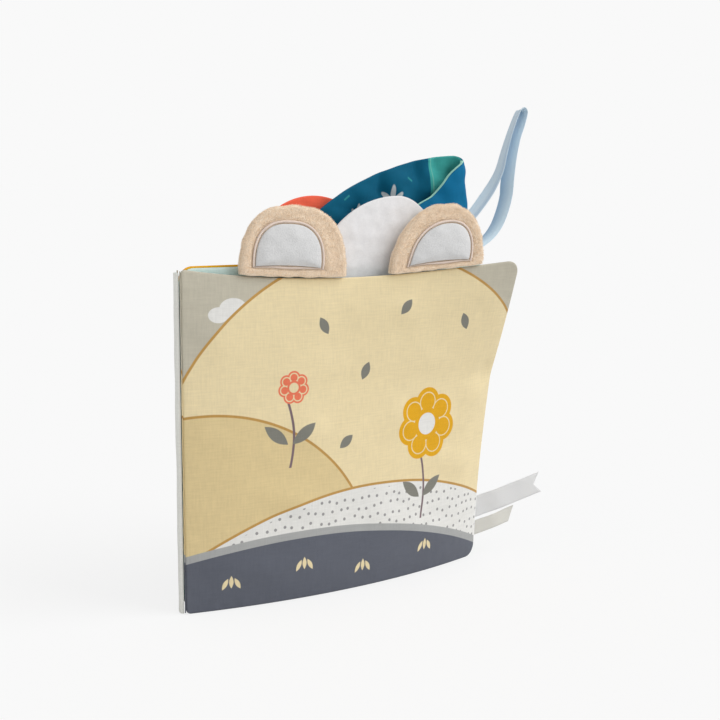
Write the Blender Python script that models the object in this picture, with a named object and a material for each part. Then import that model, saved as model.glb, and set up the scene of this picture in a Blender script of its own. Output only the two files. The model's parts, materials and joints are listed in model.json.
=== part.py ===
"""A soft cloth activity book for a baby, standing a little open on its lower edges.

Two padded covers and two padded leaves are sewn to a cloth spine strip. Plush ears stand on the
front cover's top seam, cloth flaps on the leaves' and the back cover's, a ribbon loop on the back
cover's top corner, and two woven tags in the front cover's free seam.

Metres, +Z up. The spine is at -X, the free edges at +X, and the front cover faces -Y.
"""

import math

import bmesh
import bpy
import numpy as np

# Cloth and seams
GAP = 0.0003  # clearance between pieces that touch
CLOTH_THICKNESS = 0.0007  # printed polyester with its backing
SEAM_HALF_THICKNESS = GAP / 2 + CLOTH_THICKNESS  # half the thickness of a sewn edge
SEAM_ALLOWANCE_WIDTH = 0.0016  # how far the turned-in edge reaches into a panel
FLAP_CLOTH_THICKNESS = 0.0005
FILM_THICKNESS = 0.0003  # crinkle film
CORNER_RADIUS = 0.008  # rounding of a panel's corners
FRONT_SPINE_CORNER_RADIUS = 0.0025  # the front cover's corners beside the spine are squarer
CORNER_CUT_SHARE = 1 - math.sqrt(0.5)  # of that radius, from the corner to the arc's middle

# Covers and leaves
COVER_WIDTH = 0.200
COVER_HEIGHT = 0.180
COVER_LOFT_HEIGHT = 0.00215  # how far the wadding lifts each face above the seams
BACK_COVER_LOFT_HEIGHT = 0.0018
FRONT_SAG_DEPTH = 0.007  # dip of the front cover's top seam
SAG_SKEW_POWER = 0.85  # below 1 the dip lies nearer the spine
LEAF_WIDTH = 0.186
LEAF_LOFT_HEIGHT = 0.00145
AQUA_LEAF_HEIGHT = 0.180
YELLOW_LEAF_HEIGHT = 0.1808
HINGE_TAPER_WIDTH = 0.045  # a panel thins to its seam over this width at the spine
EDGE_TAPER_WIDTH = 0.024  # and over this width at its other edges
WADDING_INSET_WIDTH = SEAM_ALLOWANCE_WIDTH + 0.0015
WADDING_EDGE_HALF_THICKNESS = 0.0001
PANEL_MIDDLE_COLUMNS = 4
PANEL_HIGH_ROWS = 3

# Squeaker in a pocket of the front cover's wadding
SQUEAKER_RADIUS = 0.0135
SQUEAKER_THICKNESS = 0.0030
SQUEAKER_SIDES = 24
SQUEAKER_COLUMN = 4  # the wadding's grid cell that is left open for it
SQUEAKER_ROW = 4

# How the panels stand: headings in plan, in degrees from +X
HEADING_TOP = -5.0
HEADING_BOTTOM_SPINE = -9.0
HEADING_BOTTOM_FREE = 22.0
FAN_ANGLES = (0, 4.0, 7.2, 10.4)  # how far each panel is turned back from the first
FLARE_KINK_SHARE = 0.62  # height of the crease above which the free edge flares
FLARE_KINK_AMOUNT_SHARE = 0.32  # share of the flare reached there
FLARE_POWER = 1.6

# Spine strip
SPINE_HEIGHT = 0.178
HINGE_SPACING = 0.0034  # between the sewn edges of neighbouring panels
SPINE_LEAN = 15.0  # degrees
SPINE_BULGE_DEPTH = 0.0006
SPINE_END_CUT_LENGTH = 0.0008
SPINE_CLOTH_THICKNESS = 0.0005
SPINE_HALF_THICKNESS = GAP / 2 + SPINE_CLOTH_THICKNESS
SPINE_STEPS = 6
SPINE_ROWS = 3

# Plush ears
EAR_DISTANCES = {"left": 0.0610, "right": 0.1460}  # along the front cover's top seam
EAR_HALF_WIDTHS = {"left": 0.030, "right": 0.0285}
EAR_HEIGHTS = {"left": 0.0378, "right": 0.0360}
EAR_LEAN_SHARES = {"left": 0.04, "right": 0.13}  # how far the top leans towards the free edge
EAR_LOFT_HEIGHT = 0.0046
EAR_PLUSH_THICKNESS = 0.0010
EAR_ROUNDNESS_POWERS = {"left": 2.5, "right": 2.1}
EAR_CENTRE_SHARE = 0.42
EAR_LOFT_POWER = 2.6
EAR_FOLD_HEIGHT = 0.0045
EAR_FOLD_FORWARD_DISTANCE = 0.002
EAR_BASE_POINTS = 5
EAR_ARC_POINTS = 16
PATCH_SHIFT_DISTANCES = {"left": -0.0036, "right": 0.0008}  # from the ear's middle
PATCH_LEAN_SHARES = {"left": 0.04, "right": 0.22}
PATCH_HALF_WIDTH = 0.0183
PATCH_HEIGHTS = {"left": 0.0228, "right": 0.0212}
PATCH_ROUNDNESS_POWERS = {"left": 2.6, "right": 2.3}
PATCH_BASE_HEIGHTS = {"left": 0.0052, "right": 0.0040}
PATCH_CLOTH_THICKNESS = 0.0008
PATCH_GAP = 0.0004
PATCH_BOW_HEIGHT = 0.0012  # the lower edge arches up by this much
STITCH_WIDTH = 0.0018
STITCH_HEIGHT = 0.0011
STITCH_GAP = 0.0005

# Flaps on the top seams
FOLD_HEIGHT = 0.002  # a flap folds this far above its seam
WHITE_FLAP_APEX_DISTANCE = 0.1272
WHITE_FLAP_LEFT_WIDTH = 0.051
WHITE_FLAP_RIGHT_WIDTH = 0.030
WHITE_FLAP_HEIGHT = 0.0443
WHITE_FLAP_DROP_HEIGHT = 0.0085  # it is sewn to the leaf's front this far below the top seam
WHITE_FLAP_FORWARD_DISTANCE = 0.0030  # its mid plane, in front of the leaf's
WHITE_FLAP_LOFT_HEIGHT = 0.0007
WHITE_FLAP_POWER = 0.55
WHITE_FLAP_BASE_POINTS = 5
WHITE_FLAP_ARC_POINTS = 15
CORAL_FLAP_MIDDLE_DISTANCE = 0.083
CORAL_FLAP_HALF_WIDTH = 0.040
CORAL_FLAP_HEIGHT = 0.0360
CORAL_FLAP_POWER = 2
FLAP_LOFT_HEIGHT = 0.0012
FLAP_LOFT_POWER = 2
PAD_EDGE_POWER = 0.7
FLAP_CENTRE_SHARE = 0.42
FLAP_BASE_POINTS = 4
FLAP_ARC_POINTS = 12

# Blue crinkle flap, whose free end is curled forward
BLUE_START_DISTANCE = 0.071
BLUE_TURN_DISTANCE = 0.1752
BLUE_CURL_LEAN_DISTANCE = 0.0040  # the curl's top is this much nearer the spine than its foot
BLUE_LEAN_START_DISTANCE = 0.130
BLUE_HEIGHT = 0.0575
BLUE_RISE_START_DISTANCE = 0.067
BLUE_RISE_LENGTH = 0.116
BLUE_CURL_RADIUS = 0.0040
BLUE_RETURN_LENGTH = 0.039
BLUE_RETURN_HEIGHT = 0.0520
BLUE_END_HEIGHT = 0.0235
BLUE_FREE_HEM_HEIGHT = 0.004
BLUE_STRAIGHT_STEPS = 8
BLUE_CURL_STEPS = 5
BLUE_RETURN_STEPS = 5
BLUE_ROWS = 5

# Ribbon loop
RIBBON_WIDTH = 0.0096
RIBBON_THICKNESS = 0.0008
RIBBON_DISTANCE = 0.182  # along the back cover's top seam
RIBBON_HEADING = 18.0  # degrees
RIBBON_TWIST_LENGTH = 0.016
RIBBON_HEIGHT = 0.0886
RIBBON_LEAN_LENGTH = 0.0640
RIBBON_TIP_TURN = 24.0  # degrees that the loop's upper part is turned towards the front
RIBBON_TURN_START_SHARE = 0.45  # of its height
RIBBON_STEPS = 36
# The loop's line from one sewn end over its tip to the other, in shares of its lean and height
RIBBON_LINE_SHARES = (
    (-0.086, 0),
    (-0.056, 0.051),
    (0.037, 0.13),
    (0.159, 0.212),
    (0.309, 0.293),
    (0.441, 0.372),
    (0.545, 0.446),
    (0.67, 0.564),
    (0.735, 0.677),
    (0.79, 0.767),
    (0.85, 0.852),
    (0.93, 0.948),
    (0.985, 0.993),
    (1.04, 1),
    (1.075, 0.966),
    (1.03, 0.88),
    (0.955, 0.784),
    (0.885, 0.649),
    (0.835, 0.508),
    (0.80, 0.384),
    (0.735, 0.277),
    (0.645, 0.184),
    (0.51, 0.108),
    (0.31, 0.045),
    (0.115, 0),
)

# Woven tags in the front cover's free seam
TAG_THICKNESS = 0.0005
BIG_TAG_LENGTH = 0.0455
BIG_TAG_HEIGHT = 0.0135
BIG_TAG_NOTCH_DEPTH = 0.0045
BIG_TAG_SLANT_LENGTH = 0.0030  # its upper tip is this much shorter than its lower one
BIG_TAG_BASE_HEIGHT = 0.0228
SMALL_TAG_LENGTH = 0.0235
SMALL_TAG_SLANT_LENGTH = -0.0030
SMALL_TAG_HEIGHT = 0.0090
SMALL_TAG_BASE_HEIGHT = 0.0118
TAG_HEADING = -12.0  # degrees
TAG_PITCH = 16.0  # degrees

# Colours
GREIGE = (0.58, 0.54, 0.47)
CREAM = (0.76, 0.66, 0.44)
SPINE_GREY = (0.57, 0.60, 0.62)
AQUA = (0.45, 0.68, 0.70)
YELLOW = (0.75, 0.38, 0.01)
PLUSH = (0.74, 0.58, 0.44)
WHITE = (0.78, 0.79, 0.82)
BLUE = (0.02, 0.16, 0.30)
MINT = (0.10, 0.42, 0.34)
CORAL = (0.80, 0.13, 0.07)
RIBBON_BLUE = (0.42, 0.62, 0.80)
WADDING = (0.85, 0.85, 0.83)


def clear_scene():
    for thing in list(bpy.data.objects):
        bpy.data.objects.remove(thing, do_unlink=True)


def swell(share):
    """Rises from 0 at a seam to 1, level, where the taper ends."""
    return 1 - (1 - min(max(share, 0), 1)) ** 2


def flare(height_share):
    """0 where the free edge curls back at the floor, 1 where the panel is straight at the top."""
    share = min(max(height_share, 0), 1)
    if share < FLARE_KINK_SHARE:
        return FLARE_KINK_AMOUNT_SHARE * (share / FLARE_KINK_SHARE) ** FLARE_POWER
    rise = (share - FLARE_KINK_SHARE) / (1 - FLARE_KINK_SHARE)
    return FLARE_KINK_AMOUNT_SHARE + (1 - FLARE_KINK_AMOUNT_SHARE) * rise


def direction(heading):
    angle = math.radians(heading)
    return np.array((math.cos(angle), math.sin(angle), 0))


def across(heading):
    """The horizontal direction to the left of a heading, towards the back of the book."""
    return direction(heading + 90)


UP = np.array((0, 0, 1))
LAST_PANEL = 3
SPINE_ALONG = across(-SPINE_LEAN)
SPINE_OUT = across(90 - SPINE_LEAN)


def hinge_place(number):
    """The sewn edge of panel 0 to 3, front to back, on the inner side of the spine strip."""
    bulge = SPINE_BULGE_DEPTH * (1 - (2 * number / LAST_PANEL - 1) ** 2)
    return SPINE_ALONG * HINGE_SPACING * number + SPINE_OUT * bulge


class Panel:
    """A cover or a leaf: a bent mid surface between two cloths, with u from the spine and z up."""

    def __init__(self, number, width, height, loft, sag=0, low_rows=2, spine_radius=CORNER_RADIUS):
        self.hinge = hinge_place(number)
        self.fan = FAN_ANGLES[number]
        self.width = width
        self.height = height
        self.loft = loft
        self.low_rows = low_rows
        self.spine_radius = spine_radius
        self.seam = [(u, height - self.dip(u, sag)) for u in self.columns(0)]

    def dip(self, u, sag):
        return sag * math.sin(math.pi * (u / self.width) ** SAG_SKEW_POWER)

    def top(self, u):
        """The height of the top seam, which runs straight from column to column."""
        return float(np.interp(u, *np.transpose(self.seam)))

    def headings(self, z):
        amount = flare(z / self.height)
        start = HEADING_BOTTOM_SPINE + (HEADING_TOP - HEADING_BOTTOM_SPINE) * amount
        end = HEADING_BOTTOM_FREE + (HEADING_TOP - HEADING_BOTTOM_FREE) * amount
        return start + self.fan, end + self.fan

    def normal(self, u, z):
        start, end = self.headings(z)
        return across(start + (end - start) * u / self.width)

    def place(self, u, z, offset=0):
        """The point u from the spine and z up, offset towards the back of the book."""
        start, end = self.headings(z)
        turn = (end - start) * u / self.width
        chord = u * np.sinc(math.radians(turn) / (2 * math.pi))
        along = direction(start + turn / 2) * chord
        return self.hinge + along + UP * z + self.normal(u, z) * offset

    def half(self, u, z):
        """Half the panel's thickness."""
        lift = swell(u / HINGE_TAPER_WIDTH) * swell((self.width - u) / EDGE_TAPER_WIDTH)
        lift *= swell(z / EDGE_TAPER_WIDTH) * swell((self.top(u) - z) / EDGE_TAPER_WIDTH)
        return SEAM_HALF_THICKNESS + self.loft * lift

    def above(self, u, rise, offset=0):
        """A point over the top seam, on a flap that stands in the panel's own plane."""
        top = self.top(u)
        return self.place(u, top, offset) + UP * (GAP + rise)

    def columns(self, inset):
        width = self.width
        middle = np.linspace(HINGE_TAPER_WIDTH, width - EDGE_TAPER_WIDTH, PANEL_MIDDLE_COLUMNS)
        ends = [width - CORNER_RADIUS, width - inset]
        return [inset, CORNER_RADIUS, HINGE_TAPER_WIDTH / 2, *middle, *ends]

    def rows(self, u, inset):
        top = self.top(u)
        crease = self.height * FLARE_KINK_SHARE
        low = np.linspace(EDGE_TAPER_WIDTH, crease, self.low_rows, endpoint=False)
        high = np.linspace(crease, top - EDGE_TAPER_WIDTH, PANEL_HIGH_ROWS)
        return [inset, CORNER_RADIUS, *low, *high, top - CORNER_RADIUS, top - inset]

    def grid(self, inset):
        """Places (u, z) on the mid surface, with the outline drawn in by inset."""
        table = np.array([[(u, z) for z in self.rows(u, inset)] for u in self.columns(inset)])
        for column, row in ((0, 0), (0, -1), (-1, 0), (-1, -1)):
            radius = CORNER_RADIUS if column else self.spine_radius
            pull = max(radius - inset, 0) * CORNER_CUT_SHARE
            table[column, row, 0] += pull if column == 0 else -pull
            table[column, row, 1] += pull if row == 0 else -pull
        return table


class Face:
    """One side of a solid: points, triangles and the loop of points around its border."""

    def __init__(self, points, triangles, border):
        self.points = points
        self.triangles = triangles
        self.border = border


def grid_face(points):
    """A face from a table of points, with every cell cut along the same diagonal."""
    columns, rows = points.shape[:2]
    number = np.arange(columns * rows).reshape(columns, rows)
    triangles = []
    for i in range(columns - 1):
        for j in range(rows - 1):
            a, b = number[i, j], number[i + 1, j]
            c, d = number[i + 1, j + 1], number[i, j + 1]
            triangles += [(a, b, c), (a, c, d)]
    border = [*number[:-1, 0], *number[-1, :-1], *number[:0:-1, -1], *number[0, :0:-1]]
    return Face(points.reshape(-1, 3), triangles, border)


def disc_face(rings, centre):
    """A face from rings of points, outermost first, closed at its centre."""
    count = len(rings[0])
    points = np.array([p for ring in rings for p in ring] + [centre])
    triangles = []
    for k in range(len(rings) - 1):
        for i in range(count):
            a, b = k * count + i, k * count + (i + 1) % count
            triangles += [(a, b, b + count), (a, b + count, a + count)]
    last = (len(rings) - 1) * count
    triangles += [(last + i, last + (i + 1) % count, len(points) - 1) for i in range(count)]
    return Face(points, triangles, list(range(count)))


def cloth_material(name, colour, roughness=0.85):
    material = bpy.data.materials.new(name)
    material.use_nodes = True
    shader = material.node_tree.nodes["Principled BSDF"]
    shader.inputs["Base Color"].default_value = (*colour, 1)
    shader.inputs["Roughness"].default_value = roughness
    shader.inputs["Metallic"].default_value = 0
    return material


PIVOTS = {}


def pivot(name, place, parent=None):
    """An empty on a fold or hinge line, which carries the pieces that turn about it."""
    empty = bpy.data.objects.new(name, None)
    bpy.context.collection.objects.link(empty)
    PIVOTS[name] = np.array(place, float)
    if parent:
        empty.parent = bpy.data.objects[parent]
        empty.location = PIVOTS[name] - PIVOTS[parent]
    else:
        empty.location = PIVOTS[name]
    return name


def piece(name, points, triangles, carrier, colour, roughness=0.85):
    """A named solid on its carrier's empty, with its faces turned outwards."""
    mesh = bpy.data.meshes.new(name)
    mesh.from_pydata(np.array(points) - PIVOTS[carrier], [], triangles)
    work = bmesh.new()
    work.from_mesh(mesh)
    bmesh.ops.recalc_face_normals(work, faces=work.faces)
    work.to_mesh(mesh)
    work.free()
    mesh.materials.append(cloth_material(name, colour, roughness))
    mesh.shade_smooth()
    mesh.set_sharp_from_angle(angle=math.radians(40))
    thing = bpy.data.objects.new(name, mesh)
    thing.parent = bpy.data.objects[carrier]
    bpy.context.collection.objects.link(thing)
    return thing


def closed(name, first, loops, last, carrier, colour, walls=()):
    """A solid between two faces, whose borders are joined through the loops given."""
    points = [*first.points, *(p for loop in loops for p in loop), *last.points]
    triangles = [*first.triangles, *walls]
    start = len(first.points)
    chain = [list(first.border)]
    for loop in loops:
        chain.append(list(range(start, start + len(loop))))
        start += len(loop)
    chain.append([start + i for i in last.border])
    triangles += [tuple(start + i for i in reversed(t)) for t in last.triangles]
    for here, there in zip(chain, chain[1:]):
        for i in range(len(here)):
            k = (i + 1) % len(here)
            triangles += [(here[i], there[i], there[k]), (here[i], there[k], here[k])]
    return piece(name, points, triangles, carrier, colour)


def panel_layer(panel, inset, depth):
    """A face of a panel, at the depth that a function of (u, z) gives, with its border's loop."""
    table = panel.grid(inset)
    points = np.array([[panel.place(u, z, depth(u, z)) for u, z in column] for column in table])
    return grid_face(points)


def panel_border(panel, inset, depth):
    """The loop around a panel at one inset and one depth."""
    face = panel_layer(panel, inset, lambda u, z: depth)
    return face.points[face.border]


def panel_cloth(name, panel, side, carrier, colour):
    """One cloth of a panel: a shallow tray whose rim meets the other cloth at the seam."""

    def outer(u, z):
        return side * panel.half(u, z)

    def inner(u, z):
        return side * max(panel.half(u, z) - CLOTH_THICKNESS, GAP / 2)

    def on_edge(u, z):
        width, top = panel.width, panel.top(u)
        reach = min(u, width - u, z, top - z)
        return reach < CORNER_RADIUS * CORNER_CUT_SHARE + SEAM_ALLOWANCE_WIDTH

    def lining(u, z):
        return side * GAP / 2 if on_edge(u, z) else inner(u, z)

    rim = panel_border(panel, 0, side * GAP / 2)
    face_out = panel_layer(panel, 0, outer)
    face_in = panel_layer(panel, SEAM_ALLOWANCE_WIDTH, lining)
    return closed(name, face_out, [rim], face_in, carrier, colour)


def panel_wadding(name, panel, carrier, pocket=None):
    """The polyester pad between a panel's two cloths, with one cell of its grid left open."""

    def half(u, z):
        width, top = panel.width, panel.top(u)
        if min(u, width - u, z, top - z) < CORNER_RADIUS - GAP:
            return WADDING_EDGE_HALF_THICKNESS
        return panel.half(u, z) - CLOTH_THICKNESS - GAP

    front = panel_layer(panel, WADDING_INSET_WIDTH, lambda u, z: -half(u, z))
    back = panel_layer(panel, WADDING_INSET_WIDTH, half)
    if not pocket:
        return closed(name, front, [], back, carrier, WADDING)
    column, row = pocket
    rows = len(panel.rows(0, 0))
    first = column * rows + row
    ring = [first, first + rows, first + rows + 1, first + 1]
    cell = {frozenset(t) for t in ((ring[0], ring[1], ring[2]), (ring[0], ring[2], ring[3]))}
    for face in (front, back):
        face.triangles = [t for t in face.triangles if frozenset(t) not in cell]
    count = len(front.points)
    walls = []
    for a, b in zip(ring, ring[1:] + ring[:1]):
        walls += [(a, b, b + count), (a, b + count, a + count)]
    return closed(name, front, [], back, carrier, WADDING, walls)


def make_squeaker(panel, carrier):
    """A flat round squeaker in the wadding's pocket, which lies square to the panel there."""
    table = panel.grid(WADDING_INSET_WIDTH)
    column, row = SQUEAKER_COLUMN, SQUEAKER_ROW
    u, z = table[column : column + 2, row : row + 2].mean(axis=(0, 1))
    here = panel.place(u, z)
    along, up = panel.place(u + CORNER_RADIUS, z), panel.place(u, z + CORNER_RADIUS)
    right = (along - here) / np.linalg.norm(along - here)
    out = np.cross(right, up - here)
    out /= np.linalg.norm(out)
    above = np.cross(out, right)
    turns = np.linspace(0, 2 * math.pi, SQUEAKER_SIDES, endpoint=False)
    rims = []
    for side in (-0.5, 0.5):
        middle = here + out * SQUEAKER_THICKNESS * side
        rim = [
            middle + (right * math.cos(a) + above * math.sin(a)) * SQUEAKER_RADIUS
            for a in turns
        ]
        rims.append(disc_face([rim], middle))
    closed("squeaker", rims[0], [], rims[1], carrier, WHITE)


def make_spine(carrier):
    """The cloth strip that the panels are sewn to, and its lining."""
    length = HINGE_SPACING * LAST_PANEL
    offset = SEAM_HALF_THICKNESS + GAP + SPINE_HALF_THICKNESS

    def strip(name, near, far, colour):
        def at(share, z, depth):
            along = SPINE_END_CUT_LENGTH + (length - 2 * SPINE_END_CUT_LENGTH) * share
            bulge = SPINE_BULGE_DEPTH * (1 - (2 * along / length - 1) ** 2)
            return SPINE_ALONG * along + SPINE_OUT * (offset + bulge + depth) + UP * z

        shares = np.linspace(0, 1, SPINE_STEPS + 1)
        heights = np.linspace(0, SPINE_HEIGHT, SPINE_ROWS + 1)
        faces = [
            grid_face(np.array([[at(s, z, depth) for z in heights] for s in shares]))
            for depth in (near, far)
        ]
        return closed(name, faces[0], [], faces[1], carrier, colour)

    strip("spine_cover", GAP / 2, SPINE_HALF_THICKNESS, SPINE_GREY)
    strip("spine_lining", -SPINE_HALF_THICKNESS, -GAP / 2, AQUA)


def half_round(half_width, height, counts, roundness, bow=0):
    """An outline with a base line along s, bowed up in its middle, and a round top."""
    outline = []
    for share in np.linspace(-1, 1, counts[0], endpoint=False):
        outline.append((half_width * share, bow * (1 - share**2)))
    power = 2 / roundness
    for angle in np.linspace(0, math.pi, counts[1], endpoint=False):
        c, s = math.cos(angle), math.sin(angle)
        outline.append((half_width * math.copysign(abs(c) ** power, c), height * s**power))
    return np.array(outline)


def leaning(points, share):
    """The points (s, t), each moved along the seam by a share of its height."""
    return points + np.outer(points[:, 1] * share, (1, 0))


class Pad:
    """A flat pad over a top seam: an outline in (s, t), rings towards its centre, and a loft."""

    def __init__(self, panel, place, outline, centre, loft, power=FLAP_LOFT_POWER):
        self.panel = panel
        self.forward = 0
        self.middle = place
        self.outline = outline
        self.centre = np.array(centre)
        self.loft = loft
        self.power = power

    def place(self, point, offset):
        return self.panel.above(self.middle + point[0], point[1], offset - self.forward)

    def lift(self, share):
        return self.loft * (1 - share**self.power) ** PAD_EDGE_POWER

    def face(self, shares, depth):
        """Rings at shares of the outline, outermost first, each at the depth of its share."""
        rings = []
        for share in shares:
            ring = self.centre + (self.outline - self.centre) * share
            rings.append([self.place(p, depth(share)) for p in ring])
        return disc_face(rings, self.place(self.centre, depth(0)))

    def loop(self, share, depth):
        ring = self.centre + (self.outline - self.centre) * share
        return [self.place(p, depth) for p in ring]

    def share_at(self, point):
        """How far out a point lies, from 0 at the centre to 1 on the outline."""
        arrow = np.array(point) - self.centre
        reach = np.hypot(*arrow)
        if reach < GAP:
            return 0
        angle = math.atan2(arrow[1], arrow[0])
        spokes = self.outline - self.centre
        angles = np.arctan2(spokes[:, 1], spokes[:, 0])
        order = np.argsort(angles)
        lengths = np.hypot(spokes[:, 0], spokes[:, 1])[order]
        return reach / np.interp(angle, angles[order], lengths, period=2 * math.pi)


EAR_RING_SHARES = (1, 0.85, 0.6, 0.3)
EAR_CAVITY_SHARES = (0.93, 0.85, 0.6, 0.3)
EAR_STUFFING_SHARES = (0.89, 0.85, 0.6, 0.3)
PATCH_RING_SHARES = (1, 0.72, 0.4)
FLAP_RING_SHARES = (1, 0.7, 0.35)


def make_ear(side, panel, carrier):
    """A stuffed plush ear with a fleece patch, which is edged with satin stitch."""
    counts = EAR_BASE_POINTS, EAR_ARC_POINTS
    height = EAR_HEIGHTS[side]
    outline = half_round(EAR_HALF_WIDTHS[side], height, counts, EAR_ROUNDNESS_POWERS[side])
    outline = leaning(outline, EAR_LEAN_SHARES[side])
    centre = leaning(np.array([(0, height * EAR_CENTRE_SHARE)]), EAR_LEAN_SHARES[side])[0]
    pad = Pad(panel, EAR_DISTANCES[side], outline, centre, EAR_LOFT_HEIGHT, EAR_LOFT_POWER)
    name = f"{side}_ear"

    def skin(label, toward):
        front = pad.face(EAR_RING_SHARES, lambda r: toward * (SEAM_HALF_THICKNESS + pad.lift(r)))

        def cavity(r):
            inside = SEAM_HALF_THICKNESS + pad.lift(r) - EAR_PLUSH_THICKNESS
            return toward * (GAP / 2 if r > EAR_RING_SHARES[1] else inside)

        back = pad.face(EAR_CAVITY_SHARES, cavity)
        closed(f"{name}_{label}", front, [pad.loop(1, toward * GAP / 2)], back, carrier, PLUSH)

    skin("front", -1)
    skin("back", 1)

    def stuffing(r):
        inside = SEAM_HALF_THICKNESS + pad.lift(r) - EAR_PLUSH_THICKNESS - PATCH_GAP
        return GAP if r > EAR_RING_SHARES[1] else inside

    faces = [pad.face(EAR_STUFFING_SHARES, lambda r, s=s: s * stuffing(r)) for s in (-1, 1)]
    closed(f"{name}_stuffing", faces[0], [], faces[1], carrier, WADDING)

    def surface(point):
        """The height of the ear's front cloth over its mid plane."""
        return SEAM_HALF_THICKNESS + pad.lift(pad.share_at(point))

    counts = FLAP_BASE_POINTS, FLAP_ARC_POINTS
    bow = PATCH_BOW_HEIGHT
    height = PATCH_HEIGHTS[side]
    patch = half_round(PATCH_HALF_WIDTH, height, counts, PATCH_ROUNDNESS_POWERS[side], bow)
    lean = PATCH_LEAN_SHARES[side]
    patch = leaning(patch, lean)
    patch_centre = leaning(np.array([(0, height * EAR_CENTRE_SHARE)]), lean)[0]
    base = np.array((PATCH_SHIFT_DISTANCES[side], PATCH_BASE_HEIGHTS[side]))

    def on_ear(ring, height):
        return [pad.place(p + base, -(surface(p + base) + height)) for p in ring]

    def patch_face(height):
        rings_here = [
            on_ear(patch_centre + (patch - patch_centre) * share, height)
            for share in PATCH_RING_SHARES
        ]
        return disc_face(rings_here, on_ear([patch_centre], height)[0])

    low, high = patch_face(PATCH_GAP), patch_face(PATCH_GAP + PATCH_CLOTH_THICKNESS)
    closed(f"{name}_patch", low, [], high, carrier, WHITE)

    def ring_at(out, height):
        arrows = patch - patch_centre
        wider = arrows * (1 + out / np.hypot(arrows[:, 0], arrows[:, 1]))[:, None]
        return on_ear(patch_centre + wider, height)

    inner_out, outer_out = STITCH_GAP, STITCH_GAP + STITCH_WIDTH
    corners = [
        ring_at(inner_out, PATCH_GAP),
        ring_at(outer_out, PATCH_GAP),
        ring_at(outer_out, PATCH_GAP + STITCH_HEIGHT),
        ring_at(inner_out, PATCH_GAP + STITCH_HEIGHT),
    ]
    make_ring(f"{name}_stitching", corners, carrier, PLUSH)


def make_ring(name, loops, carrier, colour):
    """A closed ring whose section runs through the loops given."""
    count = len(loops[0])
    points = [p for loop in loops for p in loop]
    triangles = []
    for k in range(len(loops)):
        near, far = k * count, (k + 1) % len(loops) * count
        for i in range(count):
            j = (i + 1) % count
            triangles += [(near + i, far + i, far + j), (near + i, far + j, near + j)]
    return piece(name, points, triangles, carrier, colour)


def make_padded_flap(name, pad, carrier, colour):
    """Two cloths and a thin pad between them."""
    for label, toward in (("front", -1), ("back", 1)):
        low = pad.face(FLAP_RING_SHARES, lambda r: toward * (FILM_THICKNESS / 2 + GAP + pad.lift(r)))
        high = pad.face(
            FLAP_RING_SHARES,
            lambda r: toward * (FILM_THICKNESS / 2 + GAP + FLAP_CLOTH_THICKNESS + pad.lift(r)),
        )
        closed(f"{name}_{label}", low, [], high, carrier, colour)
    faces = [
        pad.face(FLAP_RING_SHARES, lambda r, s=s: s * (FILM_THICKNESS / 2 + pad.lift(r)))
        for s in (-1, 1)
    ]
    closed(f"{name}_wadding", faces[0], [], faces[1], carrier, WADDING)


def make_white_flap(panel, carrier):
    """The white hill-shaped flap between the ears."""
    base = np.linspace(-WHITE_FLAP_LEFT_WIDTH, WHITE_FLAP_RIGHT_WIDTH, WHITE_FLAP_BASE_POINTS, False)
    outline = [(s, -WHITE_FLAP_DROP_HEIGHT) for s in base]
    for angle in np.linspace(0, math.pi, WHITE_FLAP_ARC_POINTS, endpoint=False):
        share = math.cos(angle)
        reach = WHITE_FLAP_RIGHT_WIDTH if share > 0 else WHITE_FLAP_LEFT_WIDTH
        rise = WHITE_FLAP_HEIGHT * (1 - share**2) ** WHITE_FLAP_POWER
        outline.append((share * reach, rise - WHITE_FLAP_DROP_HEIGHT))
    centre = (0, WHITE_FLAP_HEIGHT * FLAP_CENTRE_SHARE - WHITE_FLAP_DROP_HEIGHT)
    outline = np.array(outline)
    pad = Pad(panel, WHITE_FLAP_APEX_DISTANCE, outline, centre, WHITE_FLAP_LOFT_HEIGHT)
    pad.forward = WHITE_FLAP_FORWARD_DISTANCE
    make_padded_flap("white_flap", pad, carrier, WHITE)


def make_coral_flap(panel, carrier):
    counts = FLAP_BASE_POINTS, FLAP_ARC_POINTS
    outline = half_round(CORAL_FLAP_HALF_WIDTH, CORAL_FLAP_HEIGHT, counts, CORAL_FLAP_POWER)
    centre = (0, CORAL_FLAP_HEIGHT * FLAP_CENTRE_SHARE)
    pad = Pad(panel, CORAL_FLAP_MIDDLE_DISTANCE, outline, centre, FLAP_LOFT_HEIGHT)
    make_padded_flap("coral_flap", pad, carrier, CORAL)


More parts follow.
